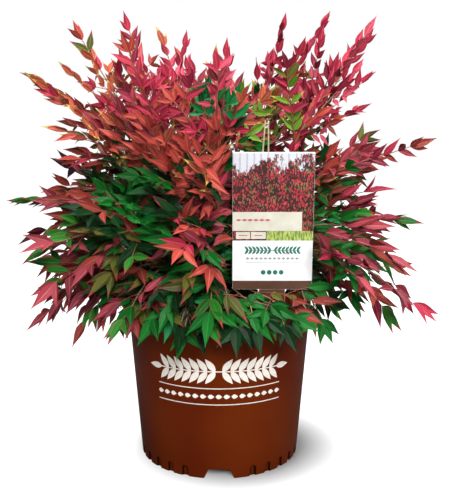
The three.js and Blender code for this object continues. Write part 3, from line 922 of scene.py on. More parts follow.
@dataclass
class PotOrnament:
    """The white print on the pot: a garland of leaves over a row of buds between two thin rules."""

    pot: Pot
    rules: Flat = (115.0, 95.0)
    rule_height: float = 1.1
    half_width: float = 77
    garland: float = 136
    garland_half: float = 76
    garland_first: float = 4
    garland_step: float = 9.6
    stalk_height: float = 1.4
    leaf: Flat = (19.5, 7.6)
    leaf_turn: float = 52
    buds: float = 105
    bud: Flat = (7.6, 5.6)
    bud_step: float = 9.2
    film: float = 0.12
    band_steps: int = 60

    def shape(self, name: str, outline: Sequence[Flat]) -> Object:
        """A flat cut-out of ink that the ornament's rows repeat.

        Args:
            name: its name.
            outline: its outline.

        Returns:
            The cut-out.
        """
        last = len(outline)
        corners = [*outline, tuple(np.mean(np.array(outline), axis=0))]
        faces = [(i, (i + 1) % last, last) for i in range(last)]
        return new_object(name, mesh_of(name, [vec(u, v, 0) for u, v in corners], faces))

    def marks(self) -> list[tuple[float, float, float, int]]:
        """Every repeated mark.

        Returns:
            Distance round, height, turn in degrees, and 0 for a leaf or 1 for a bud.
        """
        marks = []
        count = int(self.garland_half / self.garland_step)
        for side in (-1, 1):
            for i in range(count + 1):
                u = side * (self.garland_first + i * self.garland_step)
                turns = (-self.leaf_turn, self.leaf_turn) if i < count else (0,)
                marks += [(u, self.garland, turn if side > 0 else 180 - turn, 0) for turn in turns]
        buds = int(self.half_width / self.bud_step)
        marks += [(i * self.bud_step - self.bud[0] / 2, self.buds, 0, 1) for i in range(-buds, buds + 1)]
        return marks

    def row_tree(self) -> NodeTree:
        """Geometry Nodes: sets a leaf or a bud on each mark, turned as the mark says.

        Returns:
            The tree.
        """
        tree, given = new_tree("garland_row", Leaf="Object", Bud="Object", Finish="Material")
        places = {"Instance_Index": ("INT", "kind"), "Rotation": ("FLOAT_VECTOR", "turn")}
        marks = set_out(tree, given, ("Leaf", "Bud"), **places)
        return end_tree(tree, marks, (True, given.outputs["Finish"]))

    def build(self) -> Object:
        """The print as one film wrapped on the wall.

        Returns:
            The film.
        """
        leaf = self.shape("ink_leaf", leaf_outline(*self.leaf, 7))
        bud = self.shape("ink_bud", leaf_outline(*self.bud, 5))
        marks = self.marks()
        film = new_object("pot_print", mesh_of("pot_print", [vec(u, z, 0) for u, z, _, _ in marks], []))
        add_attribute(film.data, "kind", "INT", [kind for *_, kind in marks])
        turns = [part for _, _, turn, _ in marks for part in (0.0, 0.0, math.radians(turn))]
        add_attribute(film.data, "turn", "FLOAT_VECTOR", turns)
        apply_tree(film, self.row_tree(), {"Leaf": leaf, "Bud": bud, "Finish": POT_INK.material()})
        bpy.data.objects.remove(leaf)
        bpy.data.objects.remove(bud)
        points = [np.array(v.co) / MM for v in film.data.vertices]
        faces = [tuple(p.vertices) for p in film.data.polygons]
        bands = [(z, self.rule_height, self.half_width) for z in self.rules]
        for z, height, half in [*bands, (self.garland, self.stalk_height, self.garland_half)]:
            first, steps = len(points), self.band_steps
            across = [lerp(-half, half, i / steps) for i in range(steps + 1)]
            points += [vec(u, z + up, 0) for u in across for up in (-height / 2, height / 2)]
            corners = range(first, first + 2 * steps, 2)
            faces += [(a, a + 2, a + 3, a + 1) for a in corners]
        wrapped = [self.pot.on_wall(u, z, self.film) for u, z, _ in points]
        old = film.data
        film.data = mesh_of("pot_print", wrapped, faces)
        bpy.data.meshes.remove(old)
        smooth(film.data)
        film.data.materials.append(POT_INK.material())
        return film


# ---------------------------------------------------------------- potting mix


@dataclass
class PottingMix:
    """The mix: a slightly uneven bed with loose crumbs of bark on it."""

    pot: Pot
    level: float = SOIL_LEVEL
    gap: float = 0.3
    unevenness: float = 2.2
    wave_count: int = 9
    wave_length: float = 16  # shortest; a wave's full turn is about six times as long
    rings: int = 30
    segments: int = 96
    crumbs_per_square_metre: float = 26000
    crumb: float = 7.0
    crumb_sides: int = 5
    crumb_sizes: Flat = (0.35, 1.15)
    top_from: float = 0.8  # least upward part of the normal of a face that bears crumbs
    seed: int = 11
    waves: list[tuple[float, float, float]] = field(default_factory=list)

    def raised(self, p: Point) -> float:
        """How far the top of the bed is raised at a place."""
        heights = [math.sin(a * p[0] + b * p[1] + c) for a, b, c in self.waves]
        return sum(heights) / len(heights) * self.unevenness * 2

    def bed(self) -> Object:
        """The closed bed, its top raised and sunk a little.

        Returns:
            The bed.
        """
        pot = self.pot
        inset = pot.wall + 2 * self.gap
        shelf, base = pot.channel + pot.floor + self.gap, pot.floor + self.gap
        edge = pot.radius(self.level) - inset
        foot = pot.disc_radius - pot.floor - 1
        # Radius, height, and the share of the unevenness, from the middle of the top to the base.
        rows = [(edge * i / self.rings, self.level, 1) for i in range(1, self.rings)]
        rows += [(edge, self.level - 1.5, 0), (pot.radius(shelf) - inset, shelf, 0)]
        rows += [(foot + pot.disc_slope, shelf, 0), (foot, base, 0)]
        source = Lehmer(7)
        for _ in range(self.wave_count):
            along = source.swing() / self.wave_length, source.swing() / self.wave_length
            self.waves.append((*along, source.draw() * 6))
        points = [vec(0, 0, self.level + self.raised(vec(0, 0, 0)))]
        for radius, z, share in rows:
            for k in range(self.segments):
                p = heading(360 * k / self.segments) * radius
                points.append(p + vec(0, 0, z + share * self.raised(p)))
        points.append(vec(0, 0, base))
        # The rings run down, so that their faces are turned round.
        faces = [(first, *reversed(others)) for first, *others in tube_faces(len(rows), self.segments)]
        bed = new_object("potting_mix", mesh_of("potting_mix", points, faces))
        smooth(bed.data, 50)
        return bed

    def crumb_shape(self) -> Object:
        """One chip of bark: a small uneven block.

        Returns:
            The chip.
        """
        source = Lehmer(3)
        half, sides = self.crumb / 2, self.crumb_sides
        ends = []
        for _ in range(2):
            end = vec(0.5 * source.draw() + 0.5, 0.25 * source.swing(), 0.2 * source.swing())
            ends.append(end * half)
        ring = []
        for share in (-0.45, 0.4):
            for k in range(sides):
                angle = math.radians(360 / sides * k + 20 * source.swing())
                reach = half * (0.42 + 0.2 * source.draw())
                ring.append(vec(share * self.crumb, reach * math.cos(angle), 0.6 * reach * math.sin(angle)))
        chip = mesh_of("bark_chip", [-ends[0], *ring, ends[1]], tube_faces(2, sides))
        return new_object("bark_chip", chip)

    def crumb_tree(self) -> NodeTree:
        """Geometry Nodes: scatters chips on the faces that look up, and keeps the bed under them.

        Returns:
            The tree.
        """
        tree, given = new_tree("bark_crumbs", Chip="Object", Density="Float", Finish="Material", Seed="Int")
        seeded = {"Seed": given.outputs["Seed"]}
        normal = add_node(tree, "GeometryNodeInputNormal")
        height = add_node(tree, "ShaderNodeSeparateXYZ", normal).outputs["Z"]
        is_top = add_node(
            tree, "FunctionNodeCompare", height, self.top_from, data_type="FLOAT", operation="GREATER_THAN"
        )
        settings = {"Mesh": given, "Selection": is_top, "Density": given.outputs["Density"]}
        spots = add_node(tree, "GeometryNodeDistributePointsOnFaces", **settings, **seeded)
        chip = add_node(tree, "GeometryNodeObjectInfo", given.outputs["Chip"], True).outputs["Geometry"]
        turns = {"data_type": "FLOAT_VECTOR", "Min": (0, 0, 0), "Max": (6.28, 6.28, 6.28)}
        turn = add_node(tree, "FunctionNodeRandomValue", **turns, **seeded)
        low, high = self.crumb_sizes
        size = add_node(tree, "FunctionNodeRandomValue", data_type="FLOAT", Min=low, Max=high, **seeded)
        settings = {"Points": spots, "Instance": chip, "Rotation": turn, "Scale": size}
        crumbs = add_node(tree, "GeometryNodeInstanceOnPoints", **settings)
        joined = add_node(tree, "GeometryNodeJoinGeometry", [crumbs, given])
        return end_tree(tree, joined, (True, given.outputs["Finish"]))

    def build(self) -> Object:
        """The bed and its crumbs.

        Returns:
            The piece that both make.
        """
        chip = self.crumb_shape()
        values = {"Chip": chip, "Finish": POTTING_BARK.material(), "Seed": self.seed}
        values["Density"] = self.crumbs_per_square_metre
        bed = apply_tree(self.bed(), self.crumb_tree(), values)
        bpy.data.objects.remove(chip)
        return bed


# ---------------------------------------------------------------- label


def box(left: float, right: float, low: float, high: float) -> list[Flat]:
    """A rectangle's outline, anticlockwise."""
    return [(left, low), (right, low), (right, high), (left, high)]


@dataclass
class PlantLabel:
    """The label: a printed card that leans a little to the front, on a stake in the mix."""

    width: float = 92
    height: float = 160
    thickness: float = 1.0
    bottom: float = 226
    x: float = 61.5
    y: float = -80
    lean: float = 5
    stake_top: float = 34
    stake_foot: float = 18
    stake_length: float = 68
    stake_point: float = 10
    corner: float = 1.2
    film: float = 0.07
    print_edge: float = 0.15  # the white edge round the print
    picture_foot: float = 58.5
    band_top: float = 10.4

    def place(self, u: float, v: float, w: float) -> Point:
        """A point of the card.

        Args:
            u: how far across it, from its middle.
            v: how far up it, from its lower edge.
            w: how far off its face, to the front.

        Returns:
            The point.
        """
        tilt = math.radians(90 + self.lean)
        back, up = v * math.cos(tilt) - w * math.sin(tilt), v * math.sin(tilt) + w * math.cos(tilt)
        return vec(self.x + u, self.y + back, self.bottom + up)

    def depth_at(self, z: float) -> float:
        """The card's depth at a height."""
        return self.y - math.tan(math.radians(self.lean)) * (z - self.bottom)

    def plate(self, name: str, layer: int, finish: Finish, outlines: Sequence[Sequence[Flat]]) -> Object:
        """Plates with one finish, joined as one piece.

        Args:
            name: its name.
            layer: 0 for the card, else the number of the film on its front.
            finish: its finish.
            outlines: across from the card's middle and up from its foot, one outline a plate.

        Returns:
            The piece.
        """
        face = self.thickness / 2
        heights = (face + (layer - 1) * self.film, face + layer * self.film) if layer else (-face, face)
        points: list[Point] = []
        faces: list[Face] = []
        for outline in outlines:
            faces += [tuple(len(points) + i for i in side) for side in prism_faces(len(outline))]
            points += [self.place(u, v, w) for w in heights for u, v in outline]
        return new_object(name, mesh_of(name, points, faces), finish.material())

    def disc(self, u: float, v: float, radius: float, steps: int = 28) -> list[Flat]:
        """A round outline."""
        turns = [2 * math.pi * k / steps for k in range(steps)]
        return [(u + radius * math.cos(a), v + radius * math.sin(a)) for a in turns]

    def leaf(self, u: float, v: float, length: float, width: float, turn: float = 0) -> list[Flat]:
        """A pointed leaf's outline, its root at a place and turned from level."""
        c, s = math.cos(math.radians(turn)), math.sin(math.radians(turn))
        return [(u + a * c - b * s, v + a * s + b * c) for a, b in leaf_outline(length, width, 5)]

    def card_outline(self) -> list[Flat]:
        """The card with its stake, its corners just rounded.

        Returns:
            The outline, anticlockwise from the stake's point.
        """
        half, r = self.width / 2, self.corner
        top, foot = self.stake_top / 2, self.stake_foot / 2
        low = self.stake_point - self.stake_length
        side = [(0, -self.stake_length), (foot, low), (top - 2, -4), (top, 0)]
        for up, first in ((r, -90), (self.height - r, 0)):
            turns = [math.radians(first + 22.5 * k) for k in range(5)]
            side += [(half - r + r * math.cos(a), up + r * math.sin(a)) for a in turns]
        return side + [(-u, v) for u, v in reversed(side[1:])]

    def stake_front(self) -> list[Flat]:
        """The stake's printed front, a little in from its edges.

        Returns:
            Its outline.
        """
        top, foot = self.stake_top / 2 - 2.2, self.stake_foot / 2 - 0.3
        shoulder = self.stake_point - self.stake_length
        return [(-foot, shoulder), (foot, shoulder), (top, -4), (top, 0), (-top, 0), (-top, -4)]

    def sprigs(self) -> list[list[Flat]]:
        """The green garland on the white part, and the row of discs under it.

        Returns:
            The outlines: a stalk, pairs of leaves to both sides of its middle, and the discs.
        """
        outlines = [box(-31, 31, 46.6, 47.4)]
        for side in (-1, 1):
            for i in range(7):
                turns = (-48, 48) if side > 0 else (228, 132)
                outlines += [self.leaf(side * (2 + 4.3 * i), 47, 6.6, 2.7, turn) for turn in turns]
        return outlines + [self.disc(-10.4 + 6.9 * i, 20.6, 2.7) for i in range(4)]

    def build(self) -> list[Object]:
        """The card and its printed fields.

        Returns:
            The card first.
        """
        rim = self.print_edge
        side, foot = self.width / 2 - rim, self.picture_foot
        plaques = [box(-side, 33, 69.8, 92), box(-42, -26, 60.4, 68.6), box(-25, -8, 60.4, 68.6)]
        strokes = [self.leaf(-42 + 6.6 * i, 82.5, 6.4, 2.6) for i in range(6)]
        strokes += [box(-39, -29, 64, 65), box(-21, -12, 64, 65)]
        buds = [self.leaf(-30.5 + 5.15 * i, 37.2, 4.2, 2.6) for i in range(12)]
        plates = (
            ("label_card", 0, CARD_WHITE, [self.card_outline()]),
            ("label_picture", 1, LeafyPrint(), [box(-side, side, foot, self.height - 1.3)]),
            ("label_grass", 2, GRASSY_PRINT, [box(-7, side, foot, 69.6)]),
            ("label_plaques", 2, CARD_BEIGE, plaques),
            ("label_coral_marks", 3, CARD_CORAL, strokes),
            ("label_band", 1, CARD_BAND, [box(-side, side, rim, self.band_top), self.stake_front()]),
            ("label_green_marks", 1, CARD_TEAL, self.sprigs()),
            ("label_grey_marks", 1, CARD_GREY, [*buds, box(-31, 31, 32.6, 33.1)]),
        )
        return [self.plate(*plate) for plate in plates]


# ---------------------------------------------------------------- canes and sprays by the growth rule


@dataclass(frozen=True)
class Tier:
    """One storey of sprays: where it leaves the canes, and where its tips lie."""

    start: float
    fork: float
    elevation: float
    elevation_x: float
    reach: float
    reach_x: float
    flatten: float
    rise: float
    turn: float = 0.0


TIERS = {
    "crown": Tier(1, 0.3, 61, -4, 350, 4, 24, 0.03, 0),
    "upper": Tier(0.76, 0.3, 42, -8, 324, -24, 36, 0.05, 22),
    "middle": Tier(0.56, 0.28, 20, 0, 278, -14, 20, 0.08, -8),
    "skirt": Tier(0.38, 0.28, -3, 2, 270, 14, 34, 0.13, 14),
    "apron": Tier(0.25, 0.5, -11, 0, 178, 0, 0, 0.15, -8),
}
# The heart's sprays: angle round the pot, start, fork, elevation and reach.
HEART = [
    (60, 1, 0.3, 90, 300),
    (20, 0.84, 0.34, 65, 362),
    (155, 0.72, 0.34, 76, 310),
    (275, 0.6, 0.34, 78, 280),
]
RIBS = [(0.0, -4.0, 1.0), (-38.0, 10.0, 0.8), (38.0, 6.0, 0.8)]  # turned aside, raised, share
SHARES = [0.2, 0.3, 0.4, 0.5, 0.6, 0.7, 0.8, 0.9, 1]


@dataclass
class Cane:
    """One cane: a quadratic arc from its foot to its tip."""

    name: str
    angle: float
    foot: Point
    knee: Point
    tip: Point
    foot_radius: float = 4.6
    tip_radius: float = 2.6
    flare_radius: float = 6.4
    flare_height: float = 16
    stations: int = 5

    def at(self, share: float) -> Point:
        """The point at a share of the arc."""
        return arc_point(self.foot, self.knee, self.tip, share)

    def tangent(self, share: float, step: float = 0.0001) -> Point:
        """The way that the arc runs at a share."""
        return unit(self.at(min(share + step, 1)) - self.at(max(share - step, 0)))

    def radius(self, share: float) -> float:
        """The cane's radius at a share, above its flare."""
        return lerp(self.foot_radius, self.tip_radius, share)

    def stretches(self) -> tuple[Point, Point, Point]:
        """Its straight stretches.

        Returns:
            Their starts, ends and larger radii.
        """
        flare = self.flare_height / (self.tip[2] - SOIL_LEVEL)
        last = self.stations - 1
        shares = [0, flare] + [flare + (1 - flare) * i / last for i in range(1, self.stations)]
        points = np.array([self.at(s) for s in shares])
        radii = np.array([self.flare_radius] + [self.radius(s) for s in shares[1:]])
        return points[:-1], points[1:], np.maximum(radii[:-1], radii[1:])


@dataclass
class Rib:
    """One rib of a spray: its corner points, the roll of its leaves round it, its arc and its stretches."""

    points: list[Point]
    roll: float
    arc: tuple[Point, Point, Point]
    steps: int


@dataclass
class Spray:
    """One spray: its stem, its ribs and the points that claim its space."""

    name: str
    source: Lehmer
    tier: Tier
    cane: Cane
    tip: Point
    stem: tuple[Point, Point]
    ribs: list[Rib] = field(default_factory=list)
    claims: list[Point] = field(default_factory=list)

    @property
    def side(self) -> Point:
        """Level, and square to the way from its fork to its tip."""
        return unit(np.cross(UP, self.tip - self.stem[1]))

    def arc_of(self, aside: float, raised: float, share: float, leaf: float) -> tuple[Point, Point, Point]:
        """The arc of a rib from the fork.

        Args:
            aside: how far it is turned aside from the way to the spray's tip.
            raised: how far it is turned up from that way.
            share: its length, with its last leaf, as a share of the way to the tip.
            leaf: the length of its last leaf.

        Returns:
            The arc's three points.
        """
        fork = self.stem[1]
        axis = self.tip - fork
        to_tip = turned(turned(axis, self.side, -raised), unit(np.cross(axis, self.side)), aside) * share
        end = fork + to_tip * (1 - leaf / float(np.linalg.norm(to_tip)))
        return fork, lerp(fork, end, 0.5) + UP * (2 * self.tier.rise * np.linalg.norm(end - fork)), end

    def frame_of(self, rib: Rib, step: int) -> tuple[Point, Point]:
        """How one stretch of a rib lies.

        Args:
            rib: the rib.
            step: the number of the point that the stretch ends at.

        Returns:
            The way that it runs, and the normal of its leaves.
        """
        run = unit(rib.points[step] - rib.points[step - 1])
        level = unit(self.side - run * float(self.side @ run))
        return run, turned(np.cross(run, level), run, rib.roll)


@dataclass
class Clump:
    """The plant's limbs, laid out by the growth rule that the solids follow."""

    pot: Pot
    label: PlantLabel
    gap: float = 0.3
    ring: int = 8
    first_angle: float = -92
    angle_step: float = -43.1
    foot_ring: float = 36
    top_ring: float = 72
    top: float = 330
    heart: tuple[float, ...] = (60, 4, 8, 352)  # the heart cane's angle, foot ring, top ring and top
    knee: float = 0.35
    fork: float = 0.3
    stem_radius: float = 2.6
    rib_radius: float = 1.05
    rib_steps: int = 2
    rib_tests: int = 8
    turn_jitter: float = 7
    turns_aside: tuple[float, ...] = (0, 12, -12, 24, -24, 36, -36)
    elevation_jitter: float = 4
    reach_jitter: float = 0.09
    roll: float = 50
    claims: int = 3
    rib_clear: float = 6
    pot_clear: float = 3
    leaf: float = 62 * 0.95  # how far a rib's last leaf reaches past it
    eye: Flat = (-1000, 436)
    window_margin: float = 3
    canes: list[Cane] = field(default_factory=list)
    sprays: list[Spray] = field(default_factory=list)

    def hides_label(self, p: Point, margin: float | None = None) -> bool:
        """True in the wedge between the label and a reader's eye, and in the label itself.

        Args:
            p: the point.
            margin: how far round the card the wedge reaches; the growth rule's own where left out.

        Returns:
            Whether the point is in the wedge.
        """
        card = self.label
        around = self.window_margin if margin is None else margin
        if p[1] > card.depth_at(p[2]) + around:
            return False
        grow = (card.y - self.eye[0]) / (p[1] - self.eye[0])
        x, z = p[0] * grow, self.eye[1] + (p[2] - self.eye[1]) * grow
        above = z - card.bottom
        return abs(x - card.x) < card.width / 2 + around and -2 * around < above < card.height + around

    def in_pot(self, p: Point, clearance: float | None = None) -> bool:
        """True in the pot, in its mix or just off its wall.

        Args:
            p: the point.
            clearance: what counts as just off the wall; the growth rule's own where left out.

        Returns:
            Whether the point is in the pot.
        """
        pot = self.pot
        off = self.pot_clear if clearance is None else clearance
        if p[2] > pot.height + off:
            return False
        lip = pot.lip_proud if p[2] > pot.height - pot.lip_height - off else 0
        return math.hypot(p[0], p[1]) < pot.radius(p[2]) + lip + off

    def touches_cane(self, p: Point, clearance: float) -> bool:
        """True on a cane, or closer to one than the clearance."""
        starts, ends, radii = self.cane_stretches
        return bool((to_stretches(p[None], starts, ends)[0] < radii + clearance).any())

    def add_cane(self, name: str, angle: float, foot_ring: float, top_ring: float, top: float) -> None:
        """Adds a cane that leaves the mix upright and leans out to its tip.

        Args:
            name: its name.
            angle: its angle round the pot.
            foot_ring: how far its foot is from the middle.
            top_ring: how far its tip is from the middle.
            top: its tip's height.
        """
        foot = heading(angle) * foot_ring + vec(0, 0, SOIL_LEVEL + self.gap)
        tip = heading(angle) * top_ring + vec(0, 0, top)
        knee = vec(foot[0], foot[1], lerp(foot[2], tip[2], self.knee))
        self.canes.append(Cane(name, angle, foot, knee, tip))

    def tier_tip(self, tier: Tier, angle: float, lift: float, share: float) -> Point:
        """The point where the tip of a spray lies.

        Args:
            tier: the spray's tier.
            angle: its angle round the pot.
            lift: what is added to its elevation.
            share: what its reach is multiplied by.

        Returns:
            The point.
        """
        c, s = math.cos(math.radians(angle)), math.sin(math.radians(angle))
        elevation = tier.elevation + tier.elevation_x * c + lift
        reach = tier.reach + tier.reach_x * c - tier.flatten * s * s
        return heading(angle, elevation) * (reach * share) + vec(0, 0, self.pot.height)

    def stem_to(self, tip: Point, cane: Cane, tier: Tier) -> tuple[Point, Point]:
        """A spray's stem.

        Args:
            tip: the spray's tip.
            cane: the cane that it leaves.
            tier: its tier.

        Returns:
            Its start, just off the cane, and the fork of its ribs.
        """
        leave, tangent = cane.at(tier.start), cane.tangent(tier.start)
        run = unit(unit(tip - leave) * self.fork + UP * tier.rise)
        cosine = float(run @ tangent)
        sine = math.sqrt(1 - cosine * cosine)
        if tier.start == 1:
            start = leave + tangent * (self.gap + self.stem_radius * sine)
        else:
            away = (cane.radius(tier.start) + self.gap + self.stem_radius * abs(cosine)) / sine
            start = leave + run * away
        return start, start + run * (np.linalg.norm(tip - start) * tier.fork)

    def stem_is_free(self, stem: tuple[Point, Point]) -> bool:
        """Looks for room for a stem.

        Args:
            stem: its start and its fork.

        Returns:
            True where it has room.
        """
        for share in SHARES:
            p = lerp(*stem, share)
            if self.in_pot(p) or self.hides_label(p) or self.touches_cane(p, self.stem_radius + 1):
                return False
        if not self.sprays:
            return True
        points = np.array([lerp(*stem, share) for share in [0, 0.1, *SHARES]])
        starts, ends = [np.array([other.stem[i] for other in self.sprays]) for i in (0, 1)]
        return bool((to_stretches(points, starts, ends) > self.rib_clear).all())

    def add_spray(self, name: str, cane: Cane, tier: Tier, angle: float) -> None:
        """Adds a spray, turned aside where its stem has no room, or none where it finds no room.

        Args:
            name: its name.
            cane: the cane that it leaves.
            tier: its tier.
            angle: its angle round the pot.
        """
        source = Lehmer(len(self.sprays) + 1)
        turn = self.turn_jitter * source.swing()
        lift = self.elevation_jitter * source.swing()
        share = 1 + self.reach_jitter * source.swing()
        for aside in self.turns_aside:
            tip = self.tier_tip(tier, angle + turn + aside, lift, share)
            stem = self.stem_to(tip, cane, tier)
            open_ahead = not any(self.hides_label(lerp(stem[1], tip, s)) for s in (0.3, 0.6, 1))
            if self.stem_is_free(stem) and open_ahead:
                self.sprays.append(Spray(name, source, tier, cane, tip, stem))
                return

    def lay_ribs(self, spray: Spray) -> None:
        """Lays out a spray's ribs; a rib ends where it has no room.

        Args:
            spray: the spray.
        """
        others = [other for other in self.sprays if other is not spray]
        paths = [list(other.stem) for other in others]
        paths += [rib.points for other in others for rib in other.ribs]
        starts = np.array([p for path in paths for p in path[:-1]])
        ends = np.array([p for path in paths for p in path[1:]])
        for aside, raised, share in RIBS:
            arc = spray.arc_of(aside, raised, share, self.leaf)
            points = [arc_point(*arc, i / self.rib_steps) for i in range(self.rib_steps + 1)]
            free = self.free_steps(points, starts, ends)
            kept = points[: free + 1]
            if aside == 0:
                kept = [spray.stem[0], *kept]
            spray.ribs.append(Rib(kept, self.roll * spray.source.swing(), arc, free))

    def free_steps(self, points: list[Point], starts: Point, ends: Point) -> int:
        """How many stretches of a rib, from its foot, stay clear of everything.

        Args:
            points: the rib's corner points.
            starts: one row for each stretch of the other sprays.
            ends: one row for each stretch of the other sprays.

        Returns:
            The number of free stretches.
        """
        for i in range(1, len(points)):
            shares = [k / self.rib_tests for k in range(1, self.rib_tests + 1)]
            tests = [lerp(points[i - 1], points[i], share) for share in shares]
            for p in tests:
                if self.in_pot(p) or self.hides_label(p) or self.touches_cane(p, self.rib_radius + 2):
                    return i - 1
            if (to_stretches(np.array(tests), starts, ends) < self.rib_clear).any():
                return i - 1
        return len(points) - 1

    def claim_space(self, spray: Spray) -> None:
        """Sets the points that claim the space round a spray's ribs.

        Args:
            spray: the spray.
        """
        for rib in spray.ribs:
            path = list(rib.points)
            if len(path) > 1:
                run, _ = spray.frame_of(rib, len(path) - 1)
                path.append(path[-1] + run * self.leaf)
            for a, b in zip(path, path[1:]):
                spray.claims += [lerp(a, b, i / self.claims) for i in range(1, self.claims + 1)]

    def grow(self) -> None:
        """Lays out the whole clump in the order of the growth rule."""
        for i in range(self.ring):
            angle = self.first_angle + self.angle_step * i
            self.add_cane(f"cane_{i + 1}", angle, self.foot_ring, self.top_ring, self.top)
        self.add_cane("cane_heart", *self.heart)
        *ring, heart = self.canes
        parts = [cane.stretches() for cane in self.canes]
        self.cane_stretches = tuple(np.concatenate([part[i] for part in parts]) for i in range(3))
        for i, (angle, start, fork, elevation, reach) in enumerate(HEART):
            name = f"heart_{i}" if i else "heart_tip"
            self.add_spray(name, heart, Tier(start, fork, elevation, 0, reach, 0, 0, 0), angle)
        for name, tier in TIERS.items():
            for i, cane in enumerate(ring, 1):
                self.add_spray(f"{name}_{i}", cane, tier, cane.angle + tier.turn)
        for spray in self.sprays:
            self.lay_ribs(spray)
        for spray in self.sprays:
            self.claim_space(spray)
        self.claim_points = np.array([p for spray in self.sprays for p in spray.claims])
        self.claim_owner = np.array([i for i, spray in enumerate(self.sprays) for _ in spray.claims])

    def in_own_space(self, points: Point, owner: int, margin: float) -> bool:
        """Whether points are in their own spray's space.

        Args:
            points: one row a point.
            owner: the number of their spray.
            margin: how much closer they have to be to it than to any other.

        Returns:
            True where every point is.
        """
        away = np.linalg.norm(points[:, None, :] - self.claim_points[None], axis=2)
        own = self.claim_owner == owner
        return bool((away[:, ~own].min(axis=1) > away[:, own].min(axis=1) + margin).all())


@dataclass
class CaneBarkMesh:
    """The canes with the relief of their bark: furrows lengthwise, and a ridge at each old leaf."""

    sides: int = 20
    step: float = 2.2
    # The furrows: how many round the cane, their share of the relief, and how they wind up it.
    furrows: tuple[tuple[float, ...], ...] = ((5, 1.0, 0.05), (9, 0.6, -0.11))
    furrow: float = 0.045
    lump: float = 0.05
    lump_height: float = 9
    ridge: float = 0.16
    ridge_every: float = 13
    ridge_width: float = 2.2
    flare_run: float = 16
    end_share: float = 0.92

    def tube(self, cane: Cane, number: int) -> tuple[list[Point], list[Face]]:
        """One cane's rings and faces, closed at both ends.

        Args:
            cane: the cane.
            number: the seed of its relief.

        Returns:
            The points and the faces.
        """
        source = Lehmer(90 + number)
        length = float(np.linalg.norm(cane.tip - cane.foot))
        rings = int(length / self.step)
        phases = [source.draw() * 6.28 for _ in range(3)]
        points = [cane.foot]
        across = heading(cane.angle)
        for i in range(rings + 1):
            share = i / rings
            tangent = cane.tangent(share)
            across = unit(across - tangent * float(across @ tangent))
            height = share * length
            flare = max(0.0, 1 - height / self.flare_run) ** 2 * (cane.flare_radius - cane.foot_radius)
            to_ridge = height % self.ridge_every - self.ridge_every / 2
            knot = math.exp(-(to_ridge**2) / self.ridge_width)
            base = cane.radius(share) + flare
            for k in range(self.sides):
                angle = 2 * math.pi * k / self.sides
                groove = 0.0
                for (count, depth, winding), phase in zip(self.furrows, phases):
                    groove += depth * math.sin(count * angle + phase + winding * height)
                lump = math.sin(2 * angle + phases[2] + height / self.lump_height)
                rough = 1 + self.furrow * groove + self.lump * lump + self.ridge * knot
                reach = base * (self.end_share if i in (0, rings) else rough)
                points.append(cane.at(share) + turned(across, tangent, math.degrees(angle)) * reach)
        return [*points, cane.tip], tube_faces(rings + 1, self.sides)

    def build(self, canes: list[Cane]) -> list[Object]:
        """The canes' bark.

        Args:
            canes: the canes.

        Returns:
            One piece for each cane.
        """
        made = []
        for number, cane in enumerate(canes):
            name = f"bark_{cane.name}"
            made.append(new_object(name, mesh_of(name, *self.tube(cane, number)), CANE_BARK.material()))
            smooth(made[-1].data, 60)
        return made


# ---------------------------------------------------------------- finer growth


@dataclass(frozen=True)
class Habit:
    """How a tier's fronds are clothed."""

    leaflet: float  # length
    width: float  # share of the length
    node: float  # distance between pairs of pinnae
    lift: float  # how far its leaflets turn up, or hang where below zero
    spear: int  # how many pairs at its end stand on the rib itself
    outer: dict[Tint, float]
    inner: dict[Tint, float]


def weights(text: str) -> dict[str, float]:
    """A table from words and numbers in turn."""
    words = text.split()
    return {name: float(weight) for name, weight in zip(words[::2], words[1::2])}


def tones(text: str) -> dict[Tint, float]:
    """Weights of tones from text."""
    return {Tint[name.upper()]: weight for name, weight in weights(text).items()}


HABITS = {
    name: Habit(*sizes, tones(outer), tones(inner))
    for name, sizes, outer, inner in (
        ("heart", (25, 0.31, 13, 0.12, 3), "crimson 5 rose 3 cherry 2 dusty 1",
         "crimson 4 cherry 3 forest 1 bronze 0.6"),
        ("crown", (26, 0.31, 13.5, 0.1, 3), "crimson 5 rose 3 cherry 2 coral 1 dusty 1",
         "crimson 4 cherry 3 bronze 1 forest 0.4 olive 0.6"),
        ("upper", (32, 0.29, 16, -0.02, 2), "coral 5 brick 4 crimson 2 ember 1 dusty 1",
         "brick 3 coral 2 bronze 2 forest 3 olive 2 green 1"),
        ("middle", (38, 0.28, 18.5, -0.03, 1), "brick 4 dusty 2 turning 2.5 olive 1.5 forest 1",
         "green 3 forest 6 teal 2 brick 1 bronze 2 olive 1"),
        ("skirt", (41, 0.285, 20, -0.08, 1), "brick 3 dusty 1.5 turning 3 green 2 olive 1 forest 1",
         "green 3 forest 5 teal 2 brick 1 bronze 1"),
        ("apron", (35, 0.33, 18, -0.2, 0), "green 4 turning 1 forest 4 brick 0.7 teal 3 olive 0.6",
         "forest 5 teal 2 green 2"),
        ("inside", (33, 0.32, 18, -0.06, 0), "forest 6 green 2.5 teal 2 bronze 1.5 brick 1 olive 1",
         "forest 6 teal 2 green 2 bronze 1"),
    )
}
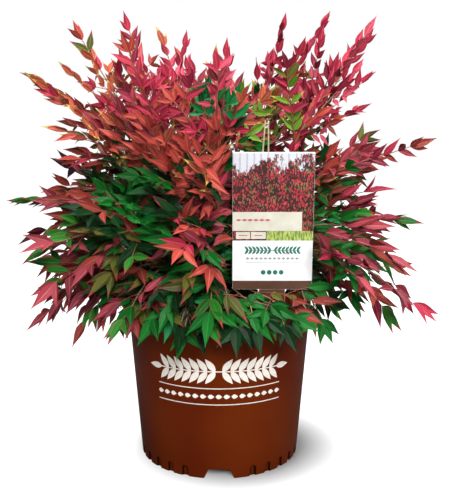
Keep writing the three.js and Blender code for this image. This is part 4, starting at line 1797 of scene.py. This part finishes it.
# Sprays that turn otherwise than their tier: what is added to the tones of their outer part.
MOODS = {
    "heart_1": "rose 8 crimson 4",
    "heart_2": "ember 12 dusty 4",
    "crown_2": "cherry 5",
    "crown_3": "ember 9 brick 4",
    "crown_4": "cherry 6 ember 4",
    "crown_6": "olive 8 lime 8 ember 4",
    "crown_7": "dusty 6 rose 4",
    "crown_8": "cherry 5",
    "upper_1": "coral 8",
    "upper_2": "coral 6 dusty 3",
    "upper_3": "ember 11 brick 8",
    "upper_4": "brick 8 ember 6 olive 2",
    "upper_6": "lime 16 olive 9 ember 5",
    "upper_7": "brick 6 olive 4 cherry 4",
    "upper_8": "brick 7 olive 3 coral 5",
    "middle_1": "coral 6 crimson 4 dusty 3 forest 6",
    "middle_2": "turning 8 maroon 4",
    "middle_3": "maroon 16 bronze 3",
    "middle_7": "dusty 7 brick 5",
    "middle_8": "turning 5 forest 4",
    "skirt_1": "forest 8 green 5",
    "skirt_2": "turning 9",
    "skirt_3": "brick 7 dusty 5",
    "skirt_8": "dusty 9 brick 7",
}


@dataclass(frozen=True)
class Patch:
    """A part of the clump's front that has turned otherwise: its middle, its reach and its tones."""

    x: float
    z: float
    reach: float
    tones: dict[Tint, float]
    behind: float = 40

    def share(self, p: Point) -> float:
        """How strongly it takes a leaflet at a point."""
        away = math.hypot(p[0] - self.x, p[2] - self.z) / self.reach
        return 0.0 if p[1] > self.behind else max(0.0, 1 - away * away)


PATCHES = [
    Patch(x, z, reach, tones(text))
    for x, z, reach, text in (
        (-185, 435, 90, "ember 22 coral 16 crimson 6"),
        (-120, 500, 60, "coral 12 ember 8 crimson 14"),
        (-50, 480, 80, "crimson 20 rose 16"),
        (20, 500, 60, "rose 20 crimson 16"),
        (-8, 436, 29, "teal 60 green 20"),
        (52, 424, 47, "lime 60 olive 30 ember 40"),
        (24, 396, 20, "green 60 lime 20"),
        (125, 480, 90, "crimson 30 rose 12 cherry 8"),
        (-50, 386, 62, "coral 46 ember 6"),
        (-170, 350, 74, "brick 28 dusty 14 coral 8 olive 4"),
        (-225, 310, 40, "maroon 60"),
        (-190, 270, 48, "turning 26 green 12 brick 24 dusty 14"),
        (-170, 225, 62, "dusty 44 brick 30 turning 18"),
        (-66, 312, 56, "green 80 forest 50 turning 16"),
        (-150, 320, 52, "brick 36 dusty 24 turning 16 olive 8"),
        (-148, 256, 50, "dusty 60 brick 46"),
        (-12, 306, 36, "coral 60 dusty 80 crimson 20"),
        (-96, 232, 50, "brick 34 dusty 16 green 16"),
        (-20, 235, 66, "green 30 forest 26 olive 6"),
        (118, 385, 44, "coral 40 brick 10 turning 8"),
        (160, 345, 56, "dusty 34 cherry 14 coral 10 green 14"),
        (114, 288, 42, "green 90 teal 24"),
        (178, 265, 86, "dusty 44 crimson 22 cherry 10 brick 14 turning 8"),
        (215, 305, 30, "turning 30 forest 14"),
        (128, 214, 44, "brick 40 turning 40 green 20"),
        (-215, 262, 34, "green 50 turning 30"),
        (60, 205, 50, "green 28 forest 24 brick 8"),
    )
]
# Sprays with wider or closer leaves than their tier: what the least distances are multiplied by.
OPENNESS = weights(
    "crown_2 1.1 crown_3 1.3 crown_4 1.2 crown_7 1.3 crown_8 1.4 heart_1 1.25 upper_3 1.25 upper_4 1.4 "
    "upper_7 1.3 upper_8 1.6 middle_2 0.85 middle_7 1.25 middle_8 1.3 skirt_3 0.7 skirt_4 0.8 "
    "skirt_7 1.25 skirt_8 1.15"
)
BARE_FROM = 1.35  # openness from which a spray has no finer ribs, and single leaflets for pinnae
# Further ribs, nearly as long as the main ones, of the sprays whose leaves are close.
LONG_RIBS = [(-27.0, -12.0, 0.98), (27.0, 14.0, 0.98), (-50.0, 8.0, 0.84), (50.0, -10.0, 0.84)]
# Finer ribs between and beside the three main ones: turned aside, raised, share of the length.
FINE_RIBS = [
    (-19, 20, 0.86),
    (19, -20, 0.86),
    (-60, -8, 0.52),
    (60, 16, 0.52),
    (0, 32, 0.66),
    (0, -34, 0.6),
]


@dataclass
class Twig:
    """A thin stalk: its points and the radius at each."""

    points: list[Point]
    radii: list[float]


@dataclass
class Leaflet:
    """One leaflet: where it is rooted, how it lies, its size, its shape's number and its tones."""

    root: Point
    direction: Point
    normal: Point
    length: float
    width: float
    shape: int
    tint: Tint
    tone: float


@dataclass
class Frond:
    """One leafy path: a rib or a shoot, with the spray that it belongs to and how it is clothed."""

    owner: int  # number of the spray; none below zero
    path: list[Point]
    side: Point
    roll: float
    habit: Habit
    source: Lehmer
    mood: dict[Tint, float] = field(default_factory=dict)
    openness: float = 1.0
    first: float = 6  # distance from its foot to its first pair
    inner_end: float = 0.3  # share of the way to the spray's tip at its foot
    outer_end: float = 1.0

    def length(self) -> float:
        """The length of the path."""
        return sum(float(np.linalg.norm(b - a)) for a, b in zip(self.path, self.path[1:]))

    def at(self, distance: float) -> tuple[Point, Point]:
        """How the path lies at a distance.

        Args:
            distance: the distance from its foot.

        Returns:
            The point there, and the way that the path runs.
        """
        for a, b in zip(self.path, self.path[1:]):
            step = float(np.linalg.norm(b - a))
            if distance <= step:
                return lerp(a, b, distance / step), unit(b - a)
            distance -= step
        return self.path[-1], unit(self.path[-1] - self.path[-2])

    def tint_at(self, place: Point, outer: float) -> Tint:
        """Deals out a tone by the frond's habit and mood, and by the part of the clump.

        Args:
            place: where the leaflets stand.
            outer: the share of the way to the spray's tip.

        Returns:
            The tone.
        """
        total: dict[Tint, float] = {}
        parts = [(self.habit.inner, 1 - outer), (self.habit.outer, outer), (self.mood, outer)]
        parts += [(patch.tones, patch.share(place) * lerp(0.4, 1.0, outer)) for patch in PATCHES]
        for part, share in parts:
            for tint, weight in part.items():
                total[tint] = total.get(tint, 0) + weight * share
        return self.source.pick(total)


@dataclass
class Bud:
    """A place on a frond that bears leaflets: its tone, and its share of the way to the spray's tip."""

    frond: Frond
    tint: Tint
    outer: float


@dataclass
class Foliage:
    """Fronds, pinnae and leaflets that grow on from the ribs of the clump."""

    clump: Clump
    # Curl, fold and bend of each shape of blade.
    shapes: tuple[tuple[float, float, float], ...] = (
        (-0.05, 0.3, 0.05),
        (0.04, 0.46, -0.06),
        (0.1, 0.36, 0.0),
        (0.16, 0.24, 0.07),
        (0.02, 0.52, -0.03),
        (0.22, 0.4, -0.08),
    )
    # Place along a blade and width there.
    stations: tuple[Flat, ...] = (
        (0.08, 0.34),
        (0.22, 0.78),
        (0.38, 1),
        (0.56, 0.82),
        (0.74, 0.43),
        (0.89, 0.14),
    )
    tip_faces: int = 4  # faces of a blade that may have turned otherwise
    tuck: float = 0.3  # how much shorter a blade gets by its curl
    fold_rise: float = 0.33  # how far the halves of a blade stand up for their fold
    arc_steps: int = 10
    stem_radius: float = 1.7
    rib_radius: float = 0.95
    tip_radius: float = 0.55
    stout: float = 0.8  # radius past which a stalk belongs to a spray and not to a leaf
    finer: float = 0.8  # how much thinner the finer ribs are
    pinna_radii: tuple[float, ...] = (0.5, 0.42, 0.34)
    pinna_sway: float = 0.06  # how far a pinna's end bends up or down, by the length of its stalk
    pinna_arch: float = 0.03  # how far its middle stands up, by the same
    pinna_pairs: Flat = (0.76, 0.84)  # sizes of its outermost pair and of the others
    pinna_sizes: Flat = (0.84, 0.95)  # sizes at the frond's tip and further in
    # A pinna's first stalk, what each further one gains, and the longest, by the length of a leaflet.
    stalk_shares: tuple[float, ...] = (0.3, 0.26, 1.15)
    pinna_angle: float = 54
    spear_angle: float = 41
    leaflet_angle: float = 44
    jitter: float = 17
    size_jitter: float = 0.12
    node_roll: float = 12
    node_turn: float = 24
    tilt: float = 22
    face_own: float = 0.7
    face_out: float = 0.8
    face_up: float = 0.35
    face_ahead: float = 1.5
    face_turn: float = 60  # how far off the middle a leaflet may face the other way
    crowding: float = 6.2  # least distance between the middles of two leaflets
    fringe_crowding: float = 13.0  # the same between fronds at the tips of the sprays
    margin: float = -22.0
    label_clear: float = 3.5
    shoots_from: tuple[float, ...] = (0.16, 0.3, 0.44, 0.58, 0.72, 0.86)
    shoot_length: float = 105
    shoot_vary: float = 0.25
    shoot_rise: Flat = (18, 22)  # degrees above level, and how far a shoot may be off them
    shoot_arch: float = 0.3
    shoot_roll: float = 40
    fine_roll: float = 50
    shoot_turn: float = 137.5
    collar_count: int = 34
    collar_roll: float = 25
    collar_reach: float = 0.86  # cosine past which the sides of the rim stay bare
    twigs: list[Twig] = field(default_factory=list)
    leaflets: list[Leaflet] = field(default_factory=list)
    middles: dict = field(default_factory=dict)

    def is_crowded(self, p: Point, bud: Bud) -> bool:
        """Whether another leaflet's middle is too close.

        Args:
            p: the middle of the leaflet.
            bud: where it stands; the leaflets of its own frond may be close.

        Returns:
            Whether there is no room.
        """
        i, j, k = self.cell(p)
        to_others = lerp(self.crowding, self.fringe_crowding, bud.outer**1.5) * bud.frond.openness
        cells = [(a, b, c) for a in (i - 1, i, i + 1) for b in (j - 1, j, j + 1) for c in (k - 1, k, k + 1)]
        for cell in cells:
            for other, owner in self.middles.get(cell, ()):
                away = other - p
                if float(away @ away) < (self.crowding if owner is bud.frond else to_others) ** 2:
                    return True
        return False

    def cell(self, p: Point) -> tuple[int, ...]:
        """The grid cell of a point."""
        return tuple(int(math.floor(c / self.fringe_crowding)) for c in p)

    def is_free(self, p: Point) -> bool:
        """True clear of the pot, the label and its window."""
        return not self.clump.in_pot(p, 1.0) and not self.clump.hides_label(p, self.label_clear)

    def in_space(self, points: list[Point], owner: int) -> bool:
        """True where points keep to the space of their spray, if they have one."""
        return owner < 0 or self.clump.in_own_space(np.array(points), owner, self.margin)

    def set_leaflet(self, bud: Bud, root: Point, direction: Point, normal: Point, length: float) -> bool:
        """Sets one leaflet if it has room.

        Args:
            bud: the place that bears it.
            root: its foot.
            direction: the way that it points.
            normal: roughly its upper side.
            length: its length.

        Returns:
            True where it was set.
        """
        frond, source = bud.frond, bud.frond.source
        direction = unit(unit(direction) + UP * frond.habit.lift)
        width = length * frond.habit.width
        middle, tip = root + direction * length * 0.5, root + direction * length
        outward = unit(vec(middle[0], middle[1], 0)) + UP * self.face_up
        ahead = vec(0, math.copysign(self.face_ahead, middle[1] - self.face_turn * source.swing()), 0)
        normal = unit(normal) * self.face_own + outward * self.face_out + ahead
        normal = unit(normal - direction * float(normal @ direction))
        normal = turned(normal, direction, self.tilt * source.swing())
        shape = int(source.draw() * len(self.shapes)) % len(self.shapes)
        tone = source.draw()
        if self.is_crowded(middle, bud):
            return False
        side = np.cross(direction, normal) * width / 2
        tests = [middle, tip, middle + side, middle - side, lerp(middle, tip, 0.5), lerp(root, middle, 0.5)]
        if not all(self.is_free(p) for p in tests) or not self.in_space([middle, tip], frond.owner):
            return False
        self.middles.setdefault(self.cell(middle), []).append((middle, frond))
        self.leaflets.append(Leaflet(root, direction, normal, length, width, shape, bud.tint, tone))
        return True

    def pinna(
        self, bud: Bud, foot: Point, axes: tuple[Point, Point], stalk: float, pairs: int, size: float
    ) -> None:
        """A stalk with pairs of leaflets and one at its end, or the end one alone where it has no length.

        Args:
            bud: the place that bears it.
            foot: where it leaves the rib.
            axes: the way that it points, and its upper side.
            stalk: the length of its stalk.
            pairs: how many pairs stand on the stalk.
            size: scale of its leaflets.
        """
        source = bud.frond.source
        direction, normal = unit(axes[0]), axes[1]
        normal = unit(normal - direction * float(normal @ direction))
        length = bud.frond.habit.leaflet * size
        end = foot + direction * stalk + UP * (self.pinna_sway * stalk * source.swing())
        placed = False
        for i in range(pairs):
            for hand in (-1, 1):
                angle = hand * (self.leaflet_angle + self.jitter * source.swing())
                spread = turned(direction, normal, angle)
                grown = length * self.pinna_pairs[min(i, 1)] * (1 + self.size_jitter * source.swing())
                placed |= self.set_leaflet(bud, lerp(foot, end, 1 - i / pairs), spread, normal, grown)
        grown = length * (1 + self.size_jitter * source.swing())
        ahead = turned(direction, normal, self.jitter * 0.5 * source.swing())
        placed |= self.set_leaflet(bud, end, ahead, normal, grown)
        if placed and stalk > 1:
            middle = lerp(foot, end, 0.5) + UP * (self.pinna_arch * stalk)
            self.twigs.append(Twig([foot, middle, end], list(self.pinna_radii)))

    def clothe_frond(self, frond: Frond) -> None:
        """Sets pinnae in pairs along a frond and leaflets at its end, from its end to its foot.

        Args:
            frond: the frond.
        """
        source, habit = frond.source, frond.habit
        shortest, growth, longest = self.stalk_shares
        total = frond.length()
        distance, number = total, 0
        while distance >= frond.first:
            place, run = frond.at(distance)
            level = unit(frond.side - run * float(frond.side @ run))
            normal = turned(np.cross(run, level), run, frond.roll + self.node_roll * source.swing())
            outer = lerp(frond.inner_end, frond.outer_end, distance / total)
            bud = Bud(frond, frond.tint_at(place, outer), outer)
            if number == 0:
                self.pinna(bud, place, (run, normal), 0, 0, 1.0)
            # Pinnae grow longer and get more pairs the further they are from the frond's end.
            past = max(number - habit.spear, 0) if frond.openness < BARE_FROM else 0
            spread = self.pinna_angle if past else self.spear_angle
            stalk = habit.leaflet * min(shortest + growth * past, longest) if past else 0.0
            pairs = (past > 0) + (past > 2)
            for hand in (-1, 1):
                if number and source.draw() > 0.5:
                    bud = Bud(frond, frond.tint_at(place, outer), outer)
                out = turned(run, normal, hand * (spread + self.jitter * source.swing()))
                out = turned(out, run, self.node_turn * source.swing())
                self.pinna(bud, place, (out, normal), stalk, pairs, self.pinna_sizes[min(number, 1)])
            number += 1
            distance -= habit.node * (1 + self.size_jitter * source.swing())

    def carried_on(self, spray: Spray, rib: Rib, habit: Habit) -> list[Point]:
        """A main rib as a smooth path, carried on towards the spray's tip.

        Args:
            spray: its spray.
            rib: the rib.
            habit: how it is clothed.

        Returns:
            The path.
        """
        share = rib.steps / self.clump.rib_steps
        steps = max(int(self.arc_steps * share), 1)
        path = [arc_point(*rib.arc, share * i / steps) for i in range(steps + 1)]
        if share == 1:
            run, _ = spray.frame_of(rib, len(rib.points) - 1)
            extra = self.clump.leaf - habit.leaflet * 0.98
            path += [path[-1] + run * extra * s for s in (0.5, 1.0)]
        return path

    def free_path(self, path: list[Point], owner: int) -> list[Point]:
        """The part of a path, from its foot, that has room.

        Args:
            path: the path.
            owner: the number of its spray; none below zero.

        Returns:
            That part.
        """
        for i, p in enumerate(path[1:], 1):
            if not self.is_free(p) or self.clump.touches_cane(p, 1.0) or not self.in_space([p], owner):
                return path[:i]
        return path

    def thin_path(self, path: list[Point], radius: float, scale: float = 1.0) -> None:
        """Adds the stalk that follows a path, thinner towards its tip.

        Args:
            path: the path.
            radius: the stalk's radius at its foot.
            scale: scale of both of its radii.
        """
        last = len(path) - 1
        ends = radius * scale, self.tip_radius * scale
        self.twigs.append(Twig(path, [lerp(*ends, (i / last) ** 0.8) for i in range(last + 1)]))

    def clothe_spray(self, owner: int, spray: Spray) -> None:
        """Clothes a spray: its main ribs, the finer ones between them, and its stem.

        Args:
            owner: its number.
            spray: the spray.
        """
        habit = HABITS[spray.name.split("_")[0]]
        openness = OPENNESS.get(spray.name, 1.0)
        source = Lehmer(500 + owner)
        mood = tones(MOODS.get(spray.name, ""))
        leave = spray.cane.at(spray.tier.start)
        start, fork = spray.stem
        for rib in spray.ribs:
            if rib.steps < 1:
                continue
            path = self.carried_on(spray, rib, habit)
            if rib is spray.ribs[0]:
                self.thin_path([leave, start, lerp(start, fork, 0.5), *path], self.stem_radius)
            else:
                self.thin_path(path, self.rib_radius)
            self.clothe_frond(Frond(owner, path, spray.side, rib.roll, habit, source, mood, openness))
        ribs = [] if openness >= BARE_FROM else FINE_RIBS + LONG_RIBS if openness < 1 else FINE_RIBS
        for aside, raised, share in ribs:
            arc = spray.arc_of(aside, raised, share, habit.leaflet)
            path = [arc_point(*arc, i / self.arc_steps) for i in range(self.arc_steps + 1)]
            path = self.free_path(path, owner)
            roll = self.fine_roll * source.swing()
            if len(path) > 3:
                self.thin_path(path, self.rib_radius, self.finer)
                self.clothe_frond(Frond(owner, path, spray.side, roll, habit, source, mood, openness, 16))
        stem = [lerp(leave, fork, s) for s in (0.1, 0.6, 1.0)]
        self.clothe_frond(Frond(owner, stem, spray.side, 0, habit, source, {}, 1.0, 4, 0.0, 0.3))

    def clothe_canes(self) -> None:
        """Short leafy shoots up every cane, turned round it step by step."""
        for number, cane in enumerate(self.clump.canes):
            source = Lehmer(900 + number)
            turn = 360 * source.draw()
            for share, opposite in [(share, opposite) for share in self.shoots_from for opposite in (0, 180)]:
                turn += self.shoot_turn
                rise, off = self.shoot_rise
                away = heading(turn + opposite, rise + off * source.swing())
                foot, length = cane.at(share), self.shoot_length * (1 + self.shoot_vary * source.swing())
                path = [
                    foot + away * length * s + UP * (self.shoot_arch * length * s * (1 - s))
                    for s in np.linspace(0, 1, 7)
                ]
                free = [path[0], *self.free_path(path[1:], -1)] if self.is_free(path[1]) else []
                if len(free) > 2:
                    self.thin_path(free, self.rib_radius)
                    side, roll = unit(np.cross(UP, away)), self.shoot_roll * source.swing()
                    shoot = Frond(-1, free, side, roll, HABITS["inside"], source, {}, 1.0, 10, 0.0, 0.9)
                    self.clothe_frond(shoot)

    def collar_path(self, out: Point, source: Lehmer) -> list[Point]:
        """A low shoot's way over the rim and down in front of the wall; it keeps low under the card.

        Args:
            out: the way that it runs from the middle.
            source: its random draws.

        Returns:
            The path.
        """
        cane = min(self.clump.canes, key=lambda c: float(np.linalg.norm(c.foot - out * 60)))
        foot = cane.at(0.13 + 0.06 * source.draw())
        drop = 9 * source.swing()
        end = out * (152 + 12 * source.swing()) + vec(0, 0, 216 + drop)
        path = [arc_point(foot, out * 118 + vec(0, 0, 246), end, s) for s in np.linspace(0, 1, 12)]
        if all(self.is_free(p) for p in path[1:]):
            return path
        rim = self.clump.pot.height + 2.5
        places = (70, rim), (124, rim), (138, rim - 4), (148, rim - 10 + drop), (156, rim - 17 + drop)
        return [foot, *[out * reach + vec(0, 0, z) for reach, z in places]]

    def clothe_collar(self) -> None:
        """Low shoots all round that arch over the rim and hang down in front of the wall."""
        source = Lehmer(77)
        for i in range(self.collar_count):
            out = heading(360 / self.collar_count * (i + 0.35 * source.swing()))
            path = self.collar_path(out, source)
            roll = self.collar_roll * source.swing()
            if abs(out[0]) > self.collar_reach or not all(self.is_free(p) for p in path[1:]):
                continue
            self.thin_path(path, self.rib_radius)
            side = unit(np.cross(UP, out))
            self.clothe_frond(Frond(-1, path, side, roll, HABITS["apron"], source, {}, 0.82, 44, 0.0, 1.0))

    def straw_stalks(self) -> list[Twig]:
        """Two old leaf stalks that stand bare behind the top of the card.

        Returns:
            The stalks.
        """
        card = self.clump.label
        top = card.bottom + card.height
        twigs = []
        for foot, tip, over in ((-12.5, -10.5, 34), (-3.5, -7.0, 31)):
            ends = vec(card.x + foot, -64, top - 70), vec(card.x + tip, -104, top + over)
            middle = lerp(*ends, 0.5) + vec(0.6 * foot / 4, -4, 0)
            twigs.append(Twig([ends[0], middle, ends[1]], [1.2, 1.1, 0.7]))
        return twigs

    def stalks(self, name: str, twigs: list[Twig], sides: int, finish: Finish) -> Object:
        """Twigs as one piece.

        Args:
            name: its name.
            twigs: the twigs.
            sides: how many sides they have.
            finish: their finish.

        Returns:
            The piece.
        """
        tree, given = new_tree("stalks", Sides="Int", Finish="Material")
        radius = add_node(tree, "GeometryNodeInputNamedAttribute", "stalk_radius", data_type="FLOAT")
        curve = add_node(tree, "GeometryNodeMeshToCurve", Mesh=given)
        thick = add_node(tree, "GeometryNodeSetCurveRadius", Curve=curve, Radius=radius)
        ring = add_node(tree, "GeometryNodeCurvePrimitiveCircle", given.outputs["Sides"], 1.0)
        settings = {"Curve": thick, "Profile_Curve": ring, "Scale": radius, "Fill_Caps": True}
        tube = add_node(tree, "GeometryNodeCurveToMesh", **settings)
        end_tree(tree, tube, (True, given.outputs["Finish"]))
        points: list[Point] = []
        edges: list[tuple[int, int]] = []
        for twig in twigs:
            edges += [(i, i + 1) for i in range(len(points), len(points) + len(twig.points) - 1)]
            points += twig.points
        mesh = bpy.data.meshes.new(name)
        mesh.from_pydata([tuple(p * MM) for p in points], edges, [])
        add_attribute(mesh, "stalk_radius", "FLOAT", [r * MM for twig in twigs for r in twig.radii])
        piece = apply_tree(new_object(name, mesh), tree, {"Sides": sides, "Finish": finish.material()})
        piece.data.shade_smooth()
        return piece

    def blade(self, number: int) -> Object:
        """One shape of leaflet, a unit long and wide: lance-shaped, folded along its middle and curled.

        Args:
            number: the number of its shape.

        Returns:
            The blade.
        """
        curl, fold, bend = self.shapes[number]
        points = []
        for s, w in [(0, 0), *self.stations, (1, 0)]:
            x, y, z = s * (1 - self.tuck * curl * curl * s), bend * s * s, -curl * s * s
            for off in (w / 2, 0, -w / 2) if w else (0,):
                points.append((x, y + off, z + fold * self.fold_rise * abs(y + off - bend * x * x)))
        tip = len(points) - 1
        faces: list[Face] = [(0, 2, 1), (0, 3, 2)]
        for a in range(1, tip - 3, 3):
            faces += [(a, a + 1, a + 4, a + 3), (a + 1, a + 2, a + 5, a + 4)]
        faces += [(tip - 3, tip - 2, tip), (tip - 2, tip - 1, tip)]
        mesh = bpy.data.meshes.new(f"blade_{number}")
        mesh.from_pydata(points, [], faces)
        mesh.shade_smooth()
        middles = {0, tip, *range(2, tip, 3)}
        sharp = mesh.attributes.new("sharp_edge", "BOOLEAN", "EDGE")
        sharp.data.foreach_set("value", [set(edge.vertices) <= middles for edge in mesh.edges])
        add_attribute(mesh, "across", "FLOAT", [float(i not in middles) for i in range(len(points))])
        return new_object(f"blade_{number}", mesh)

    def leaflet_tree(self) -> NodeTree:
        """Geometry Nodes: sets a blade on every point, as its attributes say.

        Its tip has a finish of its own.

        Returns:
            The tree.
        """
        blades = {f"Blade {i}": "Object" for i in range(len(self.shapes))}
        tree, given = new_tree("leaflets", **blades, **{"Finish": "Material", "Tip finish": "Material"})
        places = {"Instance_Index": ("INT", "shape"), "Rotation": ("QUATERNION", "lie")}
        spread = set_out(tree, given, blades, **places, Scale=("FLOAT_VECTOR", "size"))
        count = 2 * len(self.stations) + 2
        number = add_node(tree, "GeometryNodeInputIndex")
        within = add_node(tree, "ShaderNodeMath", number, float(count), operation="MODULO")
        ends = within, count - self.tip_faces - 0.5
        is_tip = add_node(tree, "FunctionNodeCompare", *ends, data_type="FLOAT", operation="GREATER_THAN")
        finish, tip_finish = given.outputs["Finish"], given.outputs["Tip finish"]
        return end_tree(tree, spread, (True, finish), (is_tip, tip_finish))

    def bed_of(self, name: str, leaflets: list[Leaflet]) -> Object:
        """One point for each leaflet, with how it lies, its size and its shape.

        Args:
            name: the name of the piece.
            leaflets: its leaflets.

        Returns:
            The points.
        """
        mesh = bpy.data.meshes.new(name)
        mesh.from_pydata([tuple(leaf.root * MM) for leaf in leaflets], [], [])
        lies, sizes = [], []
        for leaf in leaflets:
            side = np.cross(leaf.normal, leaf.direction)
            lies += list(Matrix((leaf.direction, side, leaf.normal)).transposed().to_quaternion())
            sizes += [leaf.length * MM, leaf.width * MM, leaf.length * MM]
        add_attribute(mesh, "lie", "QUATERNION", lies)
        add_attribute(mesh, "size", "FLOAT_VECTOR", sizes)
        add_attribute(mesh, "leaf_tone", "FLOAT", [leaf.tone for leaf in leaflets])
        add_attribute(mesh, "shape", "INT", [leaf.shape for leaf in leaflets])
        return new_object(name, mesh)

    def build(self) -> list[Object]:
        """Clothes the whole clump, and makes its pieces.

        Returns:
            The three pieces of stalks, and one piece of leaflets for each tone.
        """
        for owner, spray in enumerate(self.clump.sprays):
            self.clothe_spray(owner, spray)
        self.clothe_canes()
        self.clothe_collar()
        stout = [twig for twig in self.twigs if twig.radii[0] > self.stout]
        fine = [twig for twig in self.twigs if twig.radii[0] <= self.stout]
        made = [
            self.stalks("spray_stalks", stout, 6, STALK_SKIN),
            self.stalks("leaf_stalks", fine, 4, LEAF_STALK_SKIN),
            self.stalks("straw_stalks", self.straw_stalks(), 6, STRAW_SKIN),
        ]
        blades = {f"Blade {i}": self.blade(i) for i in range(len(self.shapes))}
        tree = self.leaflet_tree()
        for tint in Tint:
            leaflets = [leaf for leaf in self.leaflets if leaf.tint is tint]
            if leaflets:
                tip = TIP_TINTS.get(tint, tint)
                values = {**blades, "Finish": tint.finish.material(), "Tip finish": tip.finish.material()}
                bed = self.bed_of(f"leaflets_{tint.name.lower()}", leaflets)
                made.append(apply_tree(bed, tree, values))
        for blade in blades.values():
            bpy.data.objects.remove(blade)
        return made


# ---------------------------------------------------------------- studio


@dataclass(frozen=True)
class SoftBox:
    """A square soft light: its place, the height of the point that it looks at, its size and power."""

    name: str
    place: tuple[float, float, float]
    aim: float
    size: float
    power: float

    def build(self) -> Object:
        """The light.

        Returns:
            Its object.
        """
        data = bpy.data.lights.new(self.name, "AREA")
        data.shape = "SQUARE"
        data.size = self.size
        data.energy = self.power
        light = bpy.data.objects.new(self.name, data)
        light.location = self.place
        way = Vector((0, 0, self.aim)) - Vector(self.place)
        light.rotation_euler = way.to_track_quat("-Z", "Y").to_euler()
        return light


@dataclass
class Studio:
    """White paper, soft lights and the camera, in metres."""

    eye: tuple[float, float, float] = (0.0064, -1.0, 0.4357)
    pitch: float = -9.65
    lens: float = 59.8
    floor_reach: float = 12.0
    from_around: float = 0.07  # strength of the even light that comes from all sides
    lights: tuple[SoftBox, ...] = (
        SoftBox("key", (0.3, -1.9, 1.25), 0.3, 0.6, 50),
        SoftBox("top", (0.0, -0.3, 1.9), 0.35, 0.8, 36),
        SoftBox("fill", (-1.8, -1.2, 0.7), 0.35, 0.8, 1.5),
        SoftBox("back", (0.5, 1.7, 1.2), 0.4, 1.2, 30),
    )

    def floor(self) -> Object:
        """A plain pale floor.

        Returns:
            The floor.
        """
        reach = self.floor_reach / MM
        corners = [vec(x, y, 0) for x, y in box(-reach, reach, -reach, reach)]
        return new_object("floor", mesh_of("floor", corners, [(0, 1, 2, 3)]), StudioPaper().material())

    def camera(self) -> Object:
        """The camera, at a standing viewer's height.

        Returns:
            Its object.
        """
        data = bpy.data.cameras.new("camera")
        data.lens = self.lens
        data.clip_start = 0.05
        camera = bpy.data.objects.new("camera", data)
        camera.location = self.eye
        camera.rotation_euler = (math.radians(90 + self.pitch), 0, 0)
        return camera

    def world(self) -> None:
        """White round about to look at, and a dimmer even light from it."""
        world = bpy.data.worlds.new("studio")
        bpy.context.scene.world = world
        world.use_nodes = True
        tree = world.node_tree
        tree.nodes.clear()
        strengths = self.from_around, 1.0
        backs = [add_node(tree, "ShaderNodeBackground", (1, 1, 1, 1), strength) for strength in strengths]
        path = add_node(tree, "ShaderNodeLightPath").outputs["Is Camera Ray"]
        add_node(tree, "ShaderNodeOutputWorld", add_node(tree, "ShaderNodeMixShader", path, *backs))

    def build(self) -> None:
        """The whole studio."""
        scene = bpy.context.scene
        scene.camera = self.camera()
        self.floor()
        self.world()
        for thing in [scene.camera, *[light.build() for light in self.lights]]:
            scene.collection.objects.link(thing)
        scene.view_settings.view_transform = "Standard"
        scene.view_settings.look = "None"


# ---------------------------------------------------------------- the whole


def attach(piece: Object, slot: str, *nodes: str) -> None:
    """Sets a piece on the body.

    Args:
        piece: the piece.
        slot: not used.
        nodes: the nodes of the part that it stands for.
    """
    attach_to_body(piece, BODY)
    if nodes:
        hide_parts(*nodes)
    triangles = sum(len(p.vertices) - 2 for p in piece.data.polygons)
    LOG.info("%s: %d triangles", piece.name, triangles)


def main() -> None:
    """Builds the plant, its pot and its label, and stands them in the studio."""
    logging.basicConfig(level=logging.INFO, format="%(message)s")
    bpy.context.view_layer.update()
    Studio().build()
    pot = Pot()
    attach(pot.build(), "pot", "pot")
    attach(PotOrnament(pot).build(), "pot")
    attach(PottingMix(pot).build(), "potting_mix", "soil")
    label = PlantLabel()
    card, *fields = label.build()
    attach(card, "label_card", "label")
    for piece in fields:
        attach(piece, "label_card")
    clump = Clump(pot, label)
    clump.grow()
    for cane, piece in zip(clump.canes, CaneBarkMesh().build(clump.canes)):
        attach(piece, "cane", cane.name)
    foliage = Foliage(clump)
    stalks, leaf_stalks, straw, *leaves = foliage.build()
    sprays = [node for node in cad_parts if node.startswith("spray_")]
    attach(stalks, "cane", *sprays)
    attach(leaf_stalks, "cane", *sprays)
    attach(straw, "cane")
    for piece in leaves:
        tint = Tint[piece.name.removeprefix("leaflets_").upper()]
        attach(piece, tint.value[-1], *sprays)
    counts = len(clump.sprays), len(foliage.leaflets), len(foliage.twigs)
    LOG.info("%d sprays, %d leaflets, %d twigs", *counts)


if __name__ == "__main__":
    main()
